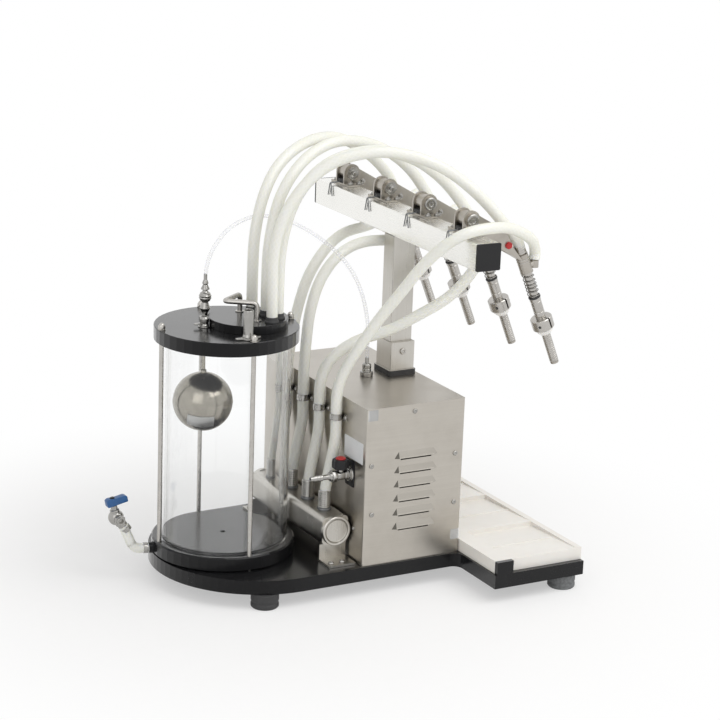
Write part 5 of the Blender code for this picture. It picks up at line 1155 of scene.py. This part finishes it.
def makeHoses():
    portY, portZ = hose["port"]
    for k, x in enumerate(stationX):
        low = [(outletX[k], manifold["y"], hose["foot"]), *((outletX[k], y, z) for y, z in hose["clip"])]
        route = [*low, *supplyRoutes[k], (x, portY, portZ + hose["portRise"]), (x, portY, portZ)]
        makeHose("supply", k + 1, [spot(*place) for place in route], 5)
        low = [spot(*bush["places"][k], z) for z in hose["hatch"]]
        end = spot(x, head["y"], head["z"]) + axis * hose["topGap"]
        route = [*low, *(spot(*place) for place in returnRoutes[k]), end + axis * hose["topRise"], end]
        makeHose("return", k + 1, route, 4)
    points = relaxed(smoothRoute([spot(*place) for place in thin["route"]], hose["step"]), thin["rounds"], 3)
    piece("vacuumLine", sweep(points, thin["radius"], thin["sides"]), thinWall,
          stands=["vacuum_tube"])


clip = {
    "y": -0.1342, "z": 0.241, "tab": (-0.016, -0.006, 0.2365, 0.2455), "tabLow": -0.1431, "tabThick": 0.001,
    "band": ((0.0079, -0.0045), (0.0088, -0.0045), (0.0090, 0), (0.0088, 0.0045), (0.0079, 0.0045),
             (0.0081, 0)),
    "screw": (0.0034, 0.0020), "screwX": -0.0125,
}


def makeClips():
    # metal bands that hold the supply hoses to the housing's back
    for k, x in enumerate(outletX):
        left, right, low, high = clip["tab"]
        tab = slab(rounded(box(x + left, x + right, low, high), 0.002), 0, clip["tabThick"], "Y", 0.0002,
                   place=at(0, clip["tabLow"], 0))
        face = spot(x + clip["screwX"], clip["tabLow"] + clip["tabThick"], clip["z"])
        mesh = gathered(lathe(clip["band"], 40, 0.0002, at(x, clip["y"], clip["z"])), tab,
                        screwHead(*clip["screw"], turnTo((0, 1, 0), face)))
        piece(f"hoseClip{k + 1}", mesh, nickel)


makeHoses()
makeClips()
print("hoses made")


# drain valve

drain = {
    "angle": 79, "slope": 52, "lean": 12, "start": 0.1063, "level": 0.050, "run": 0.046, "climb": 0.048,
    "hoseEnd": 0.0163, "hoseRadius": 0.0068, "flatShare": 0.42, "hoseCorner": 0.011, "ball": 0.0110,
    "band": box(0.0068, 0.0077, -0.003, 0.003), "firstBand": 0.0045, "secondBand": 0.006,
    "inlet": ((0.0035, 0), (0.0078, 0), (0.0078, 0.0110), (0.0070, 0.0120), (0.0070, 0.0160),
              (0.0035, 0.0160)),
    "outlet": ((0.0035, 0), (0.0068, 0), (0.0068, 0.0120), (0.0060, 0.0130), (0.0060, 0.0190),
               (0.0035, 0.0190)),
    "stem": ((0, 0), (0.0066, 0), (0.0066, 0.0120), (0.0047, 0.0128), (0.0047, 0.0184), (0, 0.0184)),
    "nut": (0.0080, 0.005), "nutAt": 0.011,
}
lever = {
    "outline": ((-0.0098, 0.0188), (0.0205, 0.0188), (0.0205, 0.0268), (0.0170, 0.0286), (0.0040, 0.0286),
                (-0.0060, 0.0303), (-0.0098, 0.0286)),
    "half": 0.0050, "cap": ((0, 0.0278), (0.0036, 0.0278), (0.0036, 0.0306), (0, 0.0306)),
}


def makeDrain():
    angle, slope, lean = (math.radians(drain[key]) for key in ("angle", "slope", "lean"))
    out = Vector((math.cos(angle), math.sin(angle), 0))
    way = out * math.cos(slope) + up * math.sin(slope)
    start = spot(0, 0, 0) + out * drain["start"] + up * drain["level"]
    centre = start + out * drain["run"] + up * drain["climb"]
    end = centre - way * drain["hoseEnd"]
    corner = start + out * ((end - start).length * drain["flatShare"])
    route = smoothRoute(filletRoute((start, corner, end), drain["hoseCorner"], 10), 0.002)
    piece("drainHose", sweep(route, drain["hoseRadius"], 24), hoseWall,
          stands=["drain_hose"])
    bands = [lathe(drain["band"], 36, 0.0003, turnTo(out, start + out * drain["firstBand"])),
             lathe(drain["band"], 36, 0.0003, turnTo(way, end - way * drain["secondBand"]))]
    piece("drainClamps", gathered(*bands), nickel)

    near = Vector((-1, 0, 0))
    stemWay = (up * math.cos(lean) + Vector((0, 1, 0)) * math.sin(lean)).normalized()
    globe = []
    for s in range(25):
        rise = math.radians(-90 + 180 * s / 24)
        globe.append((drain["ball"] * math.cos(rise) if 0 < s < 24 else 0, drain["ball"] * math.sin(rise)))
    parts = [lathe(globe, 40, 0, Matrix.Translation(centre)),
             lathe(drain["inlet"], 32, 0.0004, turnTo(-way, centre)),
             lathe(drain["outlet"], 32, 0.0004, turnTo(near, centre)),
             lathe(drain["stem"], 32, 0.0004, turnTo(stemWay, centre)),
             hexNut(*drain["nut"], turnTo(near, centre) @ Matrix.Translation((0, 0, drain["nutAt"])))]
    piece("drainValve", gathered(*parts), nickel, stands=["drain_valve"])

    # blue lever with a raised spine, and its black nut
    ahead = stemWay.cross(near)
    turn = Matrix((ahead, stemWay.cross(ahead), stemWay)).transposed().to_4x4()
    place = Matrix.Translation(centre) @ turn
    grip = slab(rounded(lever["outline"], 0.0015), -lever["half"], lever["half"], "Y", 0.0009, 3, place)
    piece("drainLever", grip, bluePlastic, "drain_handle", ["drain_lever"])
    nut = lathe(lever["cap"], 6, 0.0004, place)
    piece("drainLeverNut", nut, moulding, "drain_handle")


makeDrain()
print("drain made")


# floor, light and backdrop

floor = {
    "dark": (0.93, 0.925, 0.92), "light": (0.95, 0.948, 0.945), "size": 9, "thick": 0.02,
    "nearWhite": 0.45, "whiteFrom": 0.30, "whiteAt": 0.75,
}
light = {
    "world": 0.62, "tone": (1.0, 0.995, 0.985),
    "keyLamp": (33.0, 2.2, (-1.3, -0.9, 2.3), (0, 0, 0.2)),
    "fillLamp": (9.0, 1.8, (-1.8, 2.0, 1.5), (0, 0, 0.25)),
}


def makeFloor():
    paint = newFinish("paleFloor")
    colour = paint.mix(paint.noise(paint.place(), 60), floor["dark"], floor["light"])
    plain = paint.add("ShaderNodeBsdfPrincipled",
                      values={"Base Color": colour, "Roughness": 0.9, "Specular IOR Level": 0.1})
    glow = paint.add("ShaderNodeEmission", values={"Color": (1, 1, 1), "Strength": 1.0})
    # white takes over away from the machine, where its shadow has ended
    reach = paint.add("ShaderNodeVectorMath", {"operation": "LENGTH"}, {0: paint.place((1, 1, 0))}, "Value")
    far = paint.add("ShaderNodeMapRange", {"interpolation_type": "SMOOTHSTEP"}, {
        "Value": reach, "From Min": floor["whiteFrom"], "From Max": floor["whiteAt"],
        "To Min": floor["nearWhite"], "To Max": 1.0})
    both = paint.add("ShaderNodeMixShader", values={0: paint.seen() * far, 1: plain, 2: glow})
    size = floor["size"]
    ground = bpy.data.objects.new("floor", block((-size, -size, -floor["thick"]), (size, size, 0)))
    scene.collection.objects.link(ground)
    ground.data.materials.append(paint.done(both))


def makeLight():
    paint = Finish(bpy.data.worlds.new("studio"))
    soft = paint.add("ShaderNodeBackground", values={"Color": light["tone"], "Strength": light["world"]})
    white = paint.add("ShaderNodeBackground", values={"Color": (1, 1, 1), "Strength": 1.0})
    both = paint.add("ShaderNodeMixShader", values={0: paint.seen(), 1: soft, 2: white})
    scene.world = paint.done(both, "World")
    for name in ("keyLamp", "fillLamp"):
        power, size, place, aim = light[name]
        data = bpy.data.lights.new(name, "AREA")
        data.energy = power
        data.shape = "RECTANGLE"
        data.size = data.size_y = size
        lamp = bpy.data.objects.new(name, data)
        lamp.location = place
        lamp.rotation_mode = "QUATERNION"
        lamp.rotation_quaternion = (Vector(aim) - Vector(place)).to_track_quat("-Z", "Y")
        scene.collection.objects.link(lamp)


makeFloor()
makeLight()
scene.view_settings.view_transform = "Standard"
print("floor and light made")
